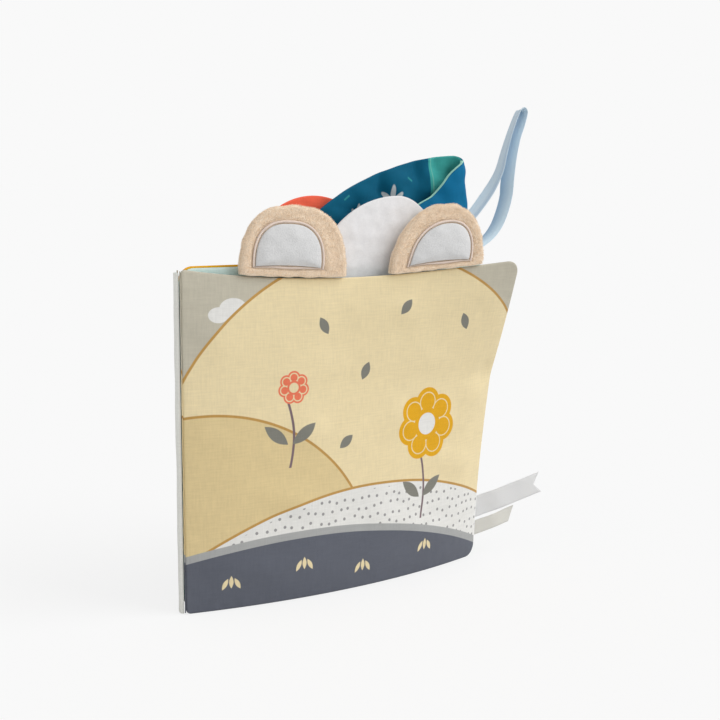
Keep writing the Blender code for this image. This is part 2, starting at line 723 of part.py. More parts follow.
def make_blue_flap(panel, carrier):
    """Two cloths and a crinkle film, straight along the seam and curled forward at the end."""
    straight = BLUE_TURN_DISTANCE - BLUE_START_DISTANCE
    curl = math.pi * BLUE_CURL_RADIUS

    def plan(s):
        """Place along the seam, distance behind it, and the outward direction there."""
        if s <= straight:
            return BLUE_START_DISTANCE + s, 0, (0, 1)
        angle = min((s - straight) / BLUE_CURL_RADIUS, math.pi)
        back = max(s - straight - curl, 0)
        u = BLUE_TURN_DISTANCE + BLUE_CURL_RADIUS * math.sin(angle) - back
        behind = -BLUE_CURL_RADIUS * (1 - math.cos(angle))
        return u, behind, (math.sin(angle), math.cos(angle))

    def top(s):
        if s <= straight:
            share = (BLUE_START_DISTANCE + s - BLUE_RISE_START_DISTANCE) / BLUE_RISE_LENGTH
            return BLUE_HEIGHT * math.sqrt(math.sin(math.pi / 2 * share))
        if s <= straight + curl:
            share = (s - straight) / curl
            return BLUE_HEIGHT + (BLUE_RETURN_HEIGHT - BLUE_HEIGHT) * share**2
        share = (s - straight - curl) / BLUE_RETURN_LENGTH
        return BLUE_RETURN_HEIGHT + (BLUE_END_HEIGHT - BLUE_RETURN_HEIGHT) * share

    def bottom(s):
        return BLUE_FREE_HEM_HEIGHT * swell((s - straight) / curl)

    def place(s, rise, depth):
        u, behind, out = plan(s)
        reach = (s - BLUE_LEAN_START_DISTANCE + BLUE_START_DISTANCE) / (
            BLUE_TURN_DISTANCE - BLUE_LEAN_START_DISTANCE
        )
        u -= BLUE_CURL_LEAN_DISTANCE * min(max(reach, 0), 1) * (rise / BLUE_HEIGHT) ** 2
        return panel.above(u + out[0] * depth, rise, behind + out[1] * depth)

    stations = [
        *np.linspace(0, straight, BLUE_STRAIGHT_STEPS, endpoint=False),
        *np.linspace(straight, straight + curl, BLUE_CURL_STEPS, endpoint=False),
        *np.linspace(straight + curl, straight + curl + BLUE_RETURN_LENGTH, BLUE_RETURN_STEPS),
    ]
    shares = np.linspace(0, 1, BLUE_ROWS)

    def layer(depth):
        table = [
            [place(s, bottom(s) + (top(s) - bottom(s)) * share, depth) for share in shares]
            for s in stations
        ]
        return grid_face(np.array(table))

    near = FILM_THICKNESS / 2 + GAP
    far = near + FLAP_CLOTH_THICKNESS
    closed("blue_flap_inner_cloth", layer(-far), [], layer(-near), carrier, BLUE)
    closed("blue_flap_film", layer(-FILM_THICKNESS / 2), [], layer(FILM_THICKNESS / 2), carrier, WADDING)
    closed("blue_flap_outer_cloth", layer(near), [], layer(far), carrier, BLUE)


def smooth_line(points, count):
    """Evenly numbered points on a Catmull-Rom curve through the points given."""
    points = np.array(points, float)
    ends = 2 * points[0] - points[1], 2 * points[-1] - points[-2]
    padded = np.vstack([ends[0], points, ends[1]])
    line = []
    for where in np.linspace(0, len(points) - 1, count + 1):
        k = min(int(where), len(points) - 2)
        t = where - k
        a, b, c, d = padded[k : k + 4]
        curve = 2 * b + (c - a) * t + (2 * a - 5 * b + 4 * c - d) * t**2
        line.append((curve + (3 * b - a - 3 * c + d) * t**3) / 2)
    return np.array(line)


def make_ribbon(panel, carrier):
    """A satin ribbon, sewn in flat by both ends, whose legs turn edge-on above the seam."""
    shares = np.array(RIBBON_LINE_SHARES)
    line = smooth_line(shares * (RIBBON_LEAN_LENGTH, RIBBON_HEIGHT), RIBBON_STEPS)
    foot = panel.above(RIBBON_DISTANCE, 0)
    seam = panel.headings(panel.height)[0]
    steps = np.hypot(*np.diff(line, axis=0).T)
    run = np.concatenate([[0], np.cumsum(steps)])
    plane = direction(RIBBON_HEADING)
    rings = []
    for k, (along, rise) in enumerate(line):
        near_end = min(run[k], run[-1] - run[k])
        twist = swell(near_end / RIBBON_TWIST_LENGTH)
        height_share = rise / RIBBON_HEIGHT
        turn_share = (height_share - RIBBON_TURN_START_SHARE) / (1 - RIBBON_TURN_START_SHARE)
        edge_on = RIBBON_HEADING + 90 - RIBBON_TIP_TURN * swell(turn_share)
        wide = direction(seam + (edge_on - seam) * twist)
        ahead = line[min(k + 1, RIBBON_STEPS)] - line[max(k - 1, 0)]
        ahead = plane * ahead[0] + UP * ahead[1]
        thick = np.cross(wide, ahead)
        thick /= np.linalg.norm(thick)
        flat = direction(seam) * along * (1 - twist) + plane * along * twist
        middle = foot + flat + UP * rise
        corners = ((-1, -1), (1, -1), (1, 1), (-1, 1))
        half_wide, half_thick = wide * RIBBON_WIDTH / 2, thick * RIBBON_THICKNESS / 2
        rings.append([middle + half_wide * a + half_thick * b for a, b in corners])
    points = [p for ring in rings for p in ring]
    triangles = []
    for k in range(RIBBON_STEPS):
        for i in range(4):
            a, b = 4 * k + i, 4 * k + (i + 1) % 4
            triangles += [(a, b, b + 4), (a, b + 4, a + 4)]
    end = 4 * RIBBON_STEPS
    triangles += [(0, 2, 1), (0, 3, 2), (end, end + 1, end + 2), (end, end + 2, end + 3)]
    return piece("ribbon_loop", points, triangles, carrier, RIBBON_BLUE)


def tag_frame(panel, base, height):
    """The foot of a tag in the free seam, its seam direction and its outward direction."""
    low, high = panel.place(panel.width, base), panel.place(panel.width, base + height)
    seam = (high - low) / np.linalg.norm(high - low)
    pitch = math.radians(TAG_PITCH)
    out = direction(TAG_HEADING) * math.cos(pitch) + UP * math.sin(pitch)
    return low, seam, out


def make_tags(panel, big_carrier, small_carrier):
    """A swallow-tailed satin tag and a small folded tag, both plain."""
    size = BIG_TAG_LENGTH, BIG_TAG_HEIGHT, BIG_TAG_NOTCH_DEPTH, BIG_TAG_SLANT_LENGTH
    place = tag_frame(panel, BIG_TAG_BASE_HEIGHT, BIG_TAG_HEIGHT)
    tag_plate("swallowtail_tag", place, size, big_carrier)
    size = SMALL_TAG_LENGTH, SMALL_TAG_HEIGHT, 0, SMALL_TAG_SLANT_LENGTH
    place = tag_frame(panel, SMALL_TAG_BASE_HEIGHT, SMALL_TAG_HEIGHT)
    tag_plate("small_tag", place, size, small_carrier)


def tag_plate(name, place, size, carrier):
    low, seam, out = place
    length, height, notch, slant = size
    tips = (length, length - slant / 2 - notch, length - slant)
    flat = np.cross(out, seam)
    flat /= np.linalg.norm(flat)
    foot = low + out * (GAP + TAG_THICKNESS)

    def layer(depth):
        heights = (0, height / 2, height)
        table = [
            [foot + out * tip * share + seam * h + flat * depth for tip, h in zip(tips, heights)]
            for share in (0, 0.5, 1)
        ]
        return grid_face(np.array(table))

    half = TAG_THICKNESS / 2
    closed(name, layer(-half), [], layer(half), carrier, WHITE)


def centre_on_floor():
    """Moves the whole book so that the origin is under the middle of its box."""
    bpy.context.view_layer.update()
    corners = []
    for thing in bpy.data.objects:
        if thing.type == "MESH":
            corners += [thing.matrix_world @ v.co for v in thing.data.vertices]
    corners = np.array(corners)
    low, high = corners.min(axis=0), corners.max(axis=0)
    shift = -(low + high) / 2
    shift[2] = -low[2]
    bpy.data.objects["book"].location = shift


def ear_fold_ends(panel, side):
    """The ends of an ear's fold line, which runs straight above the sagging seam."""
    middle, reach = EAR_DISTANCES[side], EAR_HALF_WIDTHS[side]
    return [
        panel.above(u, EAR_FOLD_HEIGHT, -EAR_FOLD_FORWARD_DISTANCE)
        for u in (middle - reach, middle + reach)
    ]


def fold_place(panel, u, rise=FOLD_HEIGHT, offset=0):
    """On the fold line of a flap or ear, a little above its seam."""
    return panel.above(u, rise, offset)


def build():
    clear_scene()
    corner = FRONT_SPINE_CORNER_RADIUS
    front = Panel(0, COVER_WIDTH, COVER_HEIGHT, COVER_LOFT_HEIGHT, FRONT_SAG_DEPTH, 3, corner)
    aqua = Panel(1, LEAF_WIDTH, AQUA_LEAF_HEIGHT, LEAF_LOFT_HEIGHT)
    yellow = Panel(2, LEAF_WIDTH, YELLOW_LEAF_HEIGHT, LEAF_LOFT_HEIGHT)
    back = Panel(3, COVER_WIDTH, COVER_HEIGHT, BACK_COVER_LOFT_HEIGHT)

    pivot("book", (0, 0, 0))
    make_spine("book")

    pivot("front_cover_hinge", front.hinge, "book")
    panel_cloth("front_cover_cloth", front, -1, "front_cover_hinge", CREAM)
    pocket = (SQUEAKER_COLUMN, SQUEAKER_ROW)
    panel_wadding("front_cover_wadding", front, "front_cover_hinge", pocket)
    make_squeaker(front, "front_cover_hinge")
    panel_cloth("front_cover_lining", front, 1, "front_cover_hinge", AQUA)

    pivot("aqua_leaf_hinge", aqua.hinge, "book")
    panel_cloth("aqua_leaf_front", aqua, -1, "aqua_leaf_hinge", AQUA)
    panel_wadding("aqua_leaf_wadding", aqua, "aqua_leaf_hinge")
    panel_cloth("aqua_leaf_back", aqua, 1, "aqua_leaf_hinge", MINT)

    pivot("yellow_leaf_hinge", yellow.hinge, "book")
    panel_cloth("yellow_leaf_front", yellow, -1, "yellow_leaf_hinge", YELLOW)
    panel_wadding("yellow_leaf_wadding", yellow, "yellow_leaf_hinge")
    panel_cloth("yellow_leaf_back", yellow, 1, "yellow_leaf_hinge", CORAL)

    pivot("back_cover_hinge", back.hinge, "book")
    panel_cloth("back_cover_lining", back, -1, "back_cover_hinge", MINT)
    panel_wadding("back_cover_wadding", back, "back_cover_hinge")
    panel_cloth("back_cover_cloth", back, 1, "back_cover_hinge", GREIGE)

    for side in EAR_DISTANCES:
        middle = np.mean(ear_fold_ends(front, side), axis=0)
        carrier = pivot(f"{side}_ear_fold", middle, "front_cover_hinge")
        make_ear(side, front, carrier)

    rise = FOLD_HEIGHT - WHITE_FLAP_DROP_HEIGHT
    place = fold_place(aqua, WHITE_FLAP_APEX_DISTANCE, rise, -WHITE_FLAP_FORWARD_DISTANCE)
    carrier = pivot("white_flap_fold", place, "aqua_leaf_hinge")
    make_white_flap(aqua, carrier)
    carrier = pivot("blue_flap_fold", fold_place(yellow, BLUE_START_DISTANCE), "yellow_leaf_hinge")
    make_blue_flap(yellow, carrier)
    carrier = pivot("coral_flap_fold", fold_place(back, CORAL_FLAP_MIDDLE_DISTANCE), "back_cover_hinge")
    make_coral_flap(back, carrier)
    carrier = pivot("ribbon_fold", fold_place(back, RIBBON_DISTANCE), "back_cover_hinge")
    make_ribbon(back, carrier)

    big = tag_frame(front, BIG_TAG_BASE_HEIGHT, BIG_TAG_HEIGHT)[0]
    small = tag_frame(front, SMALL_TAG_BASE_HEIGHT, SMALL_TAG_HEIGHT)[0]
    pivot("swallowtail_tag_fold", big, "front_cover_hinge")
    pivot("small_tag_fold", small, "front_cover_hinge")
    make_tags(front, "swallowtail_tag_fold", "small_tag_fold")
    centre_on_floor()


build()
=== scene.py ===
"""A soft cloth activity book for a baby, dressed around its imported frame.

Two padded covers and two padded leaves stand fanned out from a cloth spine strip. Plush ears sit on
the front cover's top seam, cloth flaps on the seams behind it, a ribbon loop at the back corner, and
two plain woven tags in the front cover's free seam. Metres, +Z up.
"""

import json
import math
from functools import partialmethod

import bmesh
import bpy
import numpy as np
from mathutils import Matrix, Vector


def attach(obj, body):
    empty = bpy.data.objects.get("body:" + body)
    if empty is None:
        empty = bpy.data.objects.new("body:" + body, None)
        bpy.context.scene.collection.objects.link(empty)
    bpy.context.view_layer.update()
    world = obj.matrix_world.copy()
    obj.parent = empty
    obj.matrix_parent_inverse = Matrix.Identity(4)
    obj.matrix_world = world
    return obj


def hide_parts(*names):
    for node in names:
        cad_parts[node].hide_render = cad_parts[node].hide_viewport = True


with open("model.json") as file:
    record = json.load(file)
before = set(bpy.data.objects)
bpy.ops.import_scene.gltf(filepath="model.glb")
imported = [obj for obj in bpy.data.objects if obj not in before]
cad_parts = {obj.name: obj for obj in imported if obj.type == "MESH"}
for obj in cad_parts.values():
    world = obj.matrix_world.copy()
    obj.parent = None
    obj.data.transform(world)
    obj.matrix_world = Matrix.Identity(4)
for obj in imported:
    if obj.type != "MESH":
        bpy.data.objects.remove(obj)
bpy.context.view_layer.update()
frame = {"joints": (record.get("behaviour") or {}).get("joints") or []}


# The camera, at the photograph's angle
# It looks down a little, 30 degrees to the left of the front cover's normal.

CAMERA_PLACE = Vector((-0.39290, -0.67153, 0.2232))
CAMERA_HEADING = math.radians(60)
CAMERA_PITCH = math.radians(7.34)
IMAGE_SIDE = 720
FOCAL_PIXELS = 1376
SENSOR_MM = 36


def add(name, data):
    """A new object in the scene."""
    thing = bpy.data.objects.new(name, data)
    bpy.context.scene.collection.objects.link(thing)
    return thing


camera = add("camera", bpy.data.cameras.new("camera"))
camera.data.sensor_width = SENSOR_MM
camera.data.lens = SENSOR_MM * FOCAL_PIXELS / IMAGE_SIDE
tilt = Matrix.Rotation(math.pi / 2 - CAMERA_PITCH, 4, "X")
turn = Matrix.Rotation(CAMERA_HEADING - math.pi / 2, 4, "Z")
camera.matrix_world = Matrix.Translation(CAMERA_PLACE) @ turn @ tilt
bpy.context.scene.camera = camera


# Covers and leaves
# Each is two printed cloths sewn round a wadding, with small puckers along the rolled seams. All bend
# alike: they curl back at the floor, and the free edge flares out above a crease.

MM = 1000


class Value:
    """A socket that Python's operators extend with Math nodes."""

    def __init__(self, owner, socket):
        self.owner = owner
        self.socket = socket

    def math(self, operation, *others):
        sockets = dict(enumerate((self, *others)))
        return self.owner.node("ShaderNodeMath", {"operation": operation}, sockets)

    __add__ = __radd__ = partialmethod(math, "ADD")
    __sub__ = partialmethod(math, "SUBTRACT")
    __mul__ = __rmul__ = partialmethod(math, "MULTIPLY")
    __truediv__ = partialmethod(math, "DIVIDE")
    __pow__ = partialmethod(math, "POWER")
    __abs__ = partialmethod(math, "ABSOLUTE")
    sin = partialmethod(math, "SINE")
    floor = partialmethod(math, "FLOOR")
    fract = partialmethod(math, "FRACT")
    lower = partialmethod(math, "MINIMUM")
    higher = partialmethod(math, "MAXIMUM")

    def __rsub__(self, other):
        return self * -1 + other

    def __rtruediv__(self, other):
        return self**-1 * other

    def clamp(self):
        return self.owner.node("ShaderNodeClamp", {}, {"Value": self})


class Nodes:
    """A node tree, to which one method adds its nodes."""

    def __init__(self, tree):
        self.tree = tree

    def feed(self, socket, value):
        """Links a socket to a Value, or sets it to a number or a colour."""
        if isinstance(value, Value):
            self.tree.links.new(value.socket, socket)
        else:
            socket.default_value = (*value, 1) if isinstance(value, tuple) else value

    def node(self, kind, settings, sockets, output=0):
        """Adds a node with its settings and sockets, and gives one of its outputs."""
        made = self.tree.nodes.new(kind)
        for name, value in settings.items():
            setattr(made, name, value)
        for key, value in sockets.items():
            self.feed(made.inputs[key], value)
        return Value(self, made.outputs[output])


class Paint(Nodes):
    """A material. Its pieces' UV maps hold their flat cloth in metres, and u and v in millimetres."""

    def __init__(self, name, **constants):
        self.material = bpy.data.materials.new(name)
        self.material.use_nodes = True
        super().__init__(self.material.node_tree)
        self.shader = self.tree.nodes["Principled BSDF"]
        for socket, value in constants.items():
            self.feed(self.shader.inputs[socket.replace("_", " ")], value)
        uv = self.node("ShaderNodeUVMap", {"uv_map": "flat"}, {})
        self.u, self.v = (self.part(uv, k) * MM for k in (0, 1))

    def part(self, vector, k):
        return self.node("ShaderNodeSeparateXYZ", {}, {0: vector}, k)

    def mix(self, share, below, above, blend="MIX"):
        """The colour below, with the colour above laid over it in the share given."""
        settings = {"data_type": "RGBA", "blend_type": blend}
        return self.node("ShaderNodeMix", settings, {0: share, 6: below, 7: above}, 2)

    def shaded(self, colour, shade):
        """The colour, made lighter or darker by a shade around 1."""
        grey = self.node("ShaderNodeCombineColor", {}, {0: shade, 1: shade, 2: shade})
        return self.mix(1.0, colour, grey, "MULTIPLY")

    def noise(self, size, detail=2, stretch=(1, 1)):
        """Soft noise from 0 to 1, with blots about size millimetres across."""
        sockets = {0: self.u * stretch[0], 1: self.v * stretch[1]}
        place = self.node("ShaderNodeCombineXYZ", {}, sockets)
        sockets = {"Vector": place, "Scale": 1 / size, "Detail": detail}
        return self.node("ShaderNodeTexNoise", {}, sockets)

    def disc(self, u, v, radius, squash=1):
        """The distance in millimetres outside a disc, or a squashed one."""
        return ((self.u - u) ** 2 + ((self.v - v) * squash) ** 2) ** 0.5 - radius

    def turned(self, u, v, turn):
        """The distances along and across a line through a point, turned from upright."""
        du, dv, sin, cos = self.u - u, self.v - v, math.sin(turn), math.cos(turn)
        return du * sin + dv * cos, du * cos - dv * sin

    def tilted(self, u, v, turn, half_length, half_width):
        """The distance in millimetres outside a pointed oval, turned from upright."""
        along, across = self.turned(u, v, turn)
        return (abs(across / half_width) + (along / half_length) ** 2 - 1) * half_width

    def inside(self, distance, blur=0.3):
        return (0.5 - distance / blur).clamp()

    def fill(self, colour, distance, tint):
        """Prints a shape, given by the distance outside it, in a tint."""
        return self.mix(self.inside(distance), colour, tint)

    def line(self, colour, distance, half_width, tint):
        """Prints a line along a shape's edge."""
        return self.fill(colour, abs(distance) - half_width, tint)

    def spots(self, pitch, radius, jitter=0.0):
        """Staggered dots, each moved by chance: 1 on a dot and 0 between them."""
        row = (self.v / pitch).floor()
        along = self.u / pitch + row * 0.5
        cell = self.node("ShaderNodeCombineXYZ", {}, {0: along.floor(), 1: row})
        chance = self.node("ShaderNodeTexWhiteNoise", {}, {"Vector": cell}, 1)
        du, dv = (self.part(chance, k) - 0.5 for k in (0, 1))
        u = along.fract() - 0.5 + du * jitter
        v = (self.v / pitch).fract() - 0.5 + dv * jitter
        return self.inside(((u**2 + v**2) ** 0.5) * pitch - radius)

    def stripes(self, along, pitch):
        """The height of threads side by side, from 0 to 1."""
        return (along * (math.pi / pitch)).sin() * 0.5 + 0.5

    def weave(self, pitch):
        """The height of a plain weave's threads, from 0 to 1."""
        column, row = self.u / pitch, self.v / pitch
        over = ((column.floor() + row.floor()) / 2).fract() * 2
        warp, weft = (abs((way * math.pi).sin()) for way in (column, row))
        return warp * over + weft * (1 - over)

    def finish(self, colour, height, depth):
        """Connects the colour, and a height whose full swing is depth millimetres."""
        sockets = {"Strength": 1, "Distance": depth / MM, "Height": height}
        self.feed(self.shader.inputs["Base Color"], colour)
        self.feed(self.shader.inputs["Normal"], self.node("ShaderNodeBump", {}, sockets))
        return self.material


def srgb(red, green, blue):
    """A colour as a screen shows it, from 0 to 255, as the linear one that a shader takes."""
    return tuple(((c / 255 + 0.055) / 1.055) ** 2.4 for c in (red, green, blue))


THREAD_PITCH = 0.62
THREAD_SHADE = 0.08
MOTTLE_SHADE = 0.09
SLUB_SHADE = 0.16


def fabric(name, colour, depth=0.07, roughness=0.85, sheen=0.12, gloss=0.3):
    """Plain-woven cloth in a colour or a print, with slubs, faint mottling and soft creases."""
    looks = {"Sheen_Weight": sheen, "Sheen_Roughness": 0.5, "Specular_IOR_Level": gloss}
    paint = Paint(name, Roughness=roughness, **looks)
    if callable(colour):
        colour = colour(paint)
    threads = paint.weave(THREAD_PITCH)
    shade = 1 - THREAD_SHADE + threads * THREAD_SHADE + (paint.noise(14, 3) - 0.5) * MOTTLE_SHADE
    slubs = paint.noise(0.9, 2, (0.1, 1)) + paint.noise(0.9, 2, (1, 0.1)) - 1
    creases = paint.noise(9, 3) * 3 + paint.noise(34, 2) * 6
    colour = paint.shaded(colour, shade + slubs * SLUB_SHADE)
    return paint.finish(colour, threads + creases, depth)


SHARP_ANGLE = math.radians(50)
UP = np.array((0, 0, 1))


def spread(low, high, count):
    """Numbers from low to high, closer together towards both ends."""
    return low + (high - low) * (1 - np.cos(np.linspace(0, math.pi, count))) / 2


def ripple(x, y, size, seed):
    """Gentle waves between about -1 and 1, some size metres long, the same every run."""
    chance = np.random.default_rng(seed)
    total = 0
    for _ in range(6):
        angle, phase = chance.uniform(0, math.tau, 2)
        rate = math.tau / size * chance.uniform(0.6, 1.5)
        total = total + np.sin(rate * (x * math.cos(angle) + y * math.sin(angle)) + phase)
    return total / 3


def swell(share):
    """Rises from 0 at a seam to 1, level, where the taper ends."""
    return 1 - (1 - np.clip(share, 0, 1)) ** 2


def rounded(share):
    """Rises from 0 to 1 as a quarter circle, over a rolled edge."""
    return np.sqrt(swell(share))


def bump(x, width):
    return np.exp(-((x / width) ** 2))


def pairs(a, b):
    """A table of pairs, from two tables that fit each other."""
    return np.stack(np.broadcast_arrays(a, b), axis=-1)


def piece(name, shape, flat, material, body, slot, *nodes):
    """A mesh on a body, with its flat cloth, the same on both sides, in its UV map."""
    points, faces = shape
    mesh = bpy.data.meshes.new(name)
    mesh.from_pydata([tuple(p) for p in points], [], faces)
    layer = mesh.uv_layers.new(name="flat")
    corners = np.zeros(len(mesh.loops), int)
    mesh.loops.foreach_get("vertex_index", corners)
    layer.data.foreach_set("uv", np.resize(flat, (len(points), 2))[corners].ravel())
    work = bmesh.new()
    work.from_mesh(mesh)
    bmesh.ops.recalc_face_normals(work, faces=work.faces)
    work.to_mesh(mesh)
    work.free()
    mesh.materials.append(material)
    mesh.shade_smooth()
    mesh.set_sharp_from_angle(angle=SHARP_ANGLE)
    thing = add(name, mesh)
    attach(thing, body)
    if nodes:
        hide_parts(*nodes)
    return thing


def quads(columns, rows, start=0, ring=False, loop=False):
    """The faces of a table of points, closed to rings or to a loop if asked."""
    faces = []
    for i in range(columns - (not loop)):
        a, b = start + i * rows, start + (i + 1) % columns * rows
        for j in range(rows - (not ring)):
            l = (j + 1) % rows
            faces.append((a + j, b + j, b + l, a + l))
    return faces


def shell(outer, inner):
    """The points and faces of a closed sheet between two tables of points."""
    columns, rows = outer.shape[:2]
    count = columns * rows
    number = np.arange(count).reshape(columns, rows)
    border = (*number[:-1, 0], *number[-1, :-1], *number[:0:-1, -1], *number[0, :0:-1])
    border = [int(n) for n in border]
    faces = quads(columns, rows) + quads(columns, rows, count)
    faces += [(a, b, b + count, a + count) for a, b in zip(border, border[1:] + border[:1])]
    return np.concatenate([outer.reshape(-1, 3), inner.reshape(-1, 3)]), faces


GAP = 0.0003
CLOTH_THICKNESS = 0.0006
ROLLED_EDGE = 0.0011
CORNER_RADIUS = 0.008
FRONT_SPINE_CORNER_RADIUS = 0.0025
HINGE_TAPER_WIDTH = 0.045
EDGE_TAPER_WIDTH = 0.024
SEAM_HALF_THICKNESS = 0.00085
HEADING_TOP = -5.0
HEADING_BOTTOM_SPINE = -9.0
HEADING_BOTTOM_FREE = 22.0
KINK_SHARE = 0.62
KINK_AMOUNT = 0.32
FLARE_POWER = 1.6
SAG_SKEW = 0.85
PUCKER_DEPTH, PUCKER_LENGTH, PUCKER_REACH = 0.00022, 0.0105, 0.007
PUCKER_SLANT, PUCKER_FADE = 0.3, 0.003
WAVE_DEPTH, WAVE_LENGTH = 0.00036, 0.06
BILLOW_DEPTH, BILLOW_LENGTH, BILLOW_POWER = 0.0007, 0.044, 1.5
FOLD_RISE, FOLD_SLOPE, FOLD_WIDTH, FOLD_REACH = 0.0011, 0.9, 0.0035, 0.020
DIMPLE_DEPTH, DIMPLE_ABOVE, DIMPLE_INSIDE = 0.0008, 0.004, 0.009
DIMPLE_HEIGHT, DIMPLE_WIDTH = 0.006, 0.007
FOLD_FADE = 0.004
JOINTS = {joint["name"]: joint for joint in frame["joints"]}


def direction(heading):
    angle = np.radians(heading)
    return np.stack([np.cos(angle), np.sin(angle), np.zeros_like(angle)], axis=-1)


class Panel:
    def __init__(self, body, fan, size, loft, seed, sag=0, outer=0, spine_radius=CORNER_RADIUS):
        self.body = body
        self.hinge = np.array(JOINTS[f"{body}_turn"]["pos_m"])
        self.fan = fan
        self.width, self.height = size
        self.loft = loft
        self.seed = seed
        self.sag = sag
        self.outer = outer
        self.spine_radius = spine_radius

    def top(self, u):
        share = np.clip(u / self.width, 0, 1)
        return self.height - self.sag * np.sin(math.pi * share**SAG_SKEW)

    def headings(self, z):
        """Which way the panel starts at the spine, and ends at its free edge, in degrees."""
        share = np.clip(z / self.height, 0, 1)
        low = KINK_AMOUNT * (share / KINK_SHARE) ** FLARE_POWER
        high = KINK_AMOUNT + (1 - KINK_AMOUNT) * (share - KINK_SHARE) / (1 - KINK_SHARE)
        amount = np.where(share < KINK_SHARE, low, high)
        bottoms = (HEADING_BOTTOM_SPINE, HEADING_BOTTOM_FREE)
        return [self.fan + bottom + (HEADING_TOP - bottom) * amount for bottom in bottoms]

    def place(self, u, z, offset=0.0):
        """Points u from the spine and z up, offset towards the back of the book."""
        u, z, offset = np.broadcast_arrays(*(np.asarray(n, float) for n in (u, z, offset)))
        start, end = self.headings(z)
        turn = (end - start) * u / self.width
        chord = u * np.sinc(np.radians(turn) / math.tau)
        along = direction(start + turn / 2) * chord[..., None]
        out = direction(start + turn + 90) * offset[..., None]
        return self.hinge + along + out + z[..., None] * UP

    def above(self, u, rise, offset=0.0):
        """Points over the top seam, on a flap that stands in the panel's own plane."""
        point = self.place(u, self.top(u), offset)
        return point + (GAP + np.asarray(rise))[..., None] * UP

    def radius(self, u):
        """The radius of the corners at the nearer end."""
        return np.where(u < self.width / 2, self.spine_radius, CORNER_RADIUS)

    def grid(self, columns, rows, inset=0.0):
        """Tables of u and z over the panel, whose corners are rounded."""
        u = spread(0, self.width, columns)[:, None]
        radius = self.radius(u)
        side = np.minimum(np.minimum(u, self.width - u), radius)
        low = radius - np.sqrt(radius**2 - (radius - side) ** 2)
        high = self.top(u) - low
        z = low + (high - low) * spread(0, 1, rows)
        return np.clip(u, inset, self.width - inset), np.clip(z, low + inset, high - inset)

    def edge_distance(self, u, z):
        """How far a point lies inside the rounded outline."""
        middle_u, middle_z, radius = self.width / 2, self.top(u) / 2, self.radius(u)
        reach_u = np.abs(u - middle_u) - (middle_u - radius)
        reach_z = np.abs(z - middle_z) - (middle_z - radius)
        out = np.hypot(np.maximum(reach_u, 0), np.maximum(reach_z, 0))
        return radius - out - np.minimum(np.maximum(reach_u, reach_z), 0)

    def half(self, u, z, side):
        """Half the panel's thickness on one side, with its rolled edge, puckers and waves."""
        edge = np.clip(self.edge_distance(u, z), 0, None)
        lift = swell(u / HINGE_TAPER_WIDTH) * swell((self.width - u) / EDGE_TAPER_WIDTH)
        lift = lift * swell(z / EDGE_TAPER_WIDTH) * swell((self.top(u) - z) / EDGE_TAPER_WIDTH)
        seed = self.seed + (10 if side > 0 else 0)
        along = np.where(np.minimum(z, self.top(u) - z) < np.minimum(u, self.width - u), u, z)
        near_seam = np.exp(-edge / PUCKER_REACH) * np.clip(edge / PUCKER_FADE, 0, 1)
        pucker = PUCKER_DEPTH * ripple(along, edge * PUCKER_SLANT, PUCKER_LENGTH, seed) * near_seam
        wave = WAVE_DEPTH * ripple(u, z, WAVE_LENGTH, seed + 3) * lift
        if side == self.outer:
            billow = np.clip(ripple(u, z, BILLOW_LENGTH, seed + 5), 0, None) ** BILLOW_POWER
            wave = wave + BILLOW_DEPTH * billow * lift
        body = (SEAM_HALF_THICKNESS - GAP / 2) * rounded(edge / ROLLED_EDGE) + GAP / 2
        crease = self.crease(u, z) * np.clip(edge / FOLD_FADE, 0, 1)
        return body + self.loft * lift + pucker + wave + crease

    def crease(self, u, z):
        """A shallow fold that runs in from the free edge at the height where the panel bends."""
        reach = self.width - u
        bend = self.height * KINK_SHARE
        fold = FOLD_RISE * bump(z - bend + reach * FOLD_SLOPE, FOLD_WIDTH) * bump(reach, FOLD_REACH)
        above, inside = z - bend - DIMPLE_ABOVE, reach - DIMPLE_INSIDE
        return fold - DIMPLE_DEPTH * bump(above, DIMPLE_HEIGHT) * bump(inside, DIMPLE_WIDTH)


def panel_cloth(name, panel, side, material, slot, node, columns=64, rows=58):
    """One cloth of a panel, from rolled seam to rolled seam."""
    u, z = panel.grid(columns, rows)
    outer = panel.place(u, z, side * panel.half(u, z, side))
    inset = panel.grid(columns, rows, CLOTH_THICKNESS)
    depth = np.maximum(panel.half(*inset, side) - CLOTH_THICKNESS, GAP / 4)
    shape = shell(outer, panel.place(*inset, side * depth))
    made = piece(name, shape, pairs(u, z), material, panel.body, slot, node)


FRONT = Panel("front_cover", 0, (0.200, 0.180), 0.00222, 21, 0.007, -1, FRONT_SPINE_CORNER_RADIUS)
AQUA = Panel("aqua_leaf", 4.0, (0.186, 0.180), 0.00145, 41)
YELLOW = Panel("yellow_leaf", 7.2, (0.186, 0.1808), 0.00145, 61)
BACK = Panel("back_cover", 10.4, (0.200, 0.180), 0.00205, 81, outer=1)

GREIGE = srgb(200, 194, 176)
CREAM = srgb(242, 224, 180)
CREAM_SHADE = srgb(228, 206, 155)
OUTLINE = srgb(196, 152, 82)
SLATE = srgb(97, 101, 112)
BAND_WHITE = srgb(236, 235, 231)
BAND_HEM = srgb(174, 175, 174)
DOT_GREY = srgb(158, 157, 156)
GOLD = srgb(232, 172, 0)
CORAL_SPOT = srgb(240, 124, 92)
BARK = srgb(126, 106, 112)
PEBBLE = srgb(132, 131, 122)
OUTLINE_HALF_WIDTH = 0.7
PETALS = 7


def hill(paint, u, top, radius):
    """The distance above a round hill whose top lies at (u, top)."""
    return paint.disc(u, top - radius, radius)


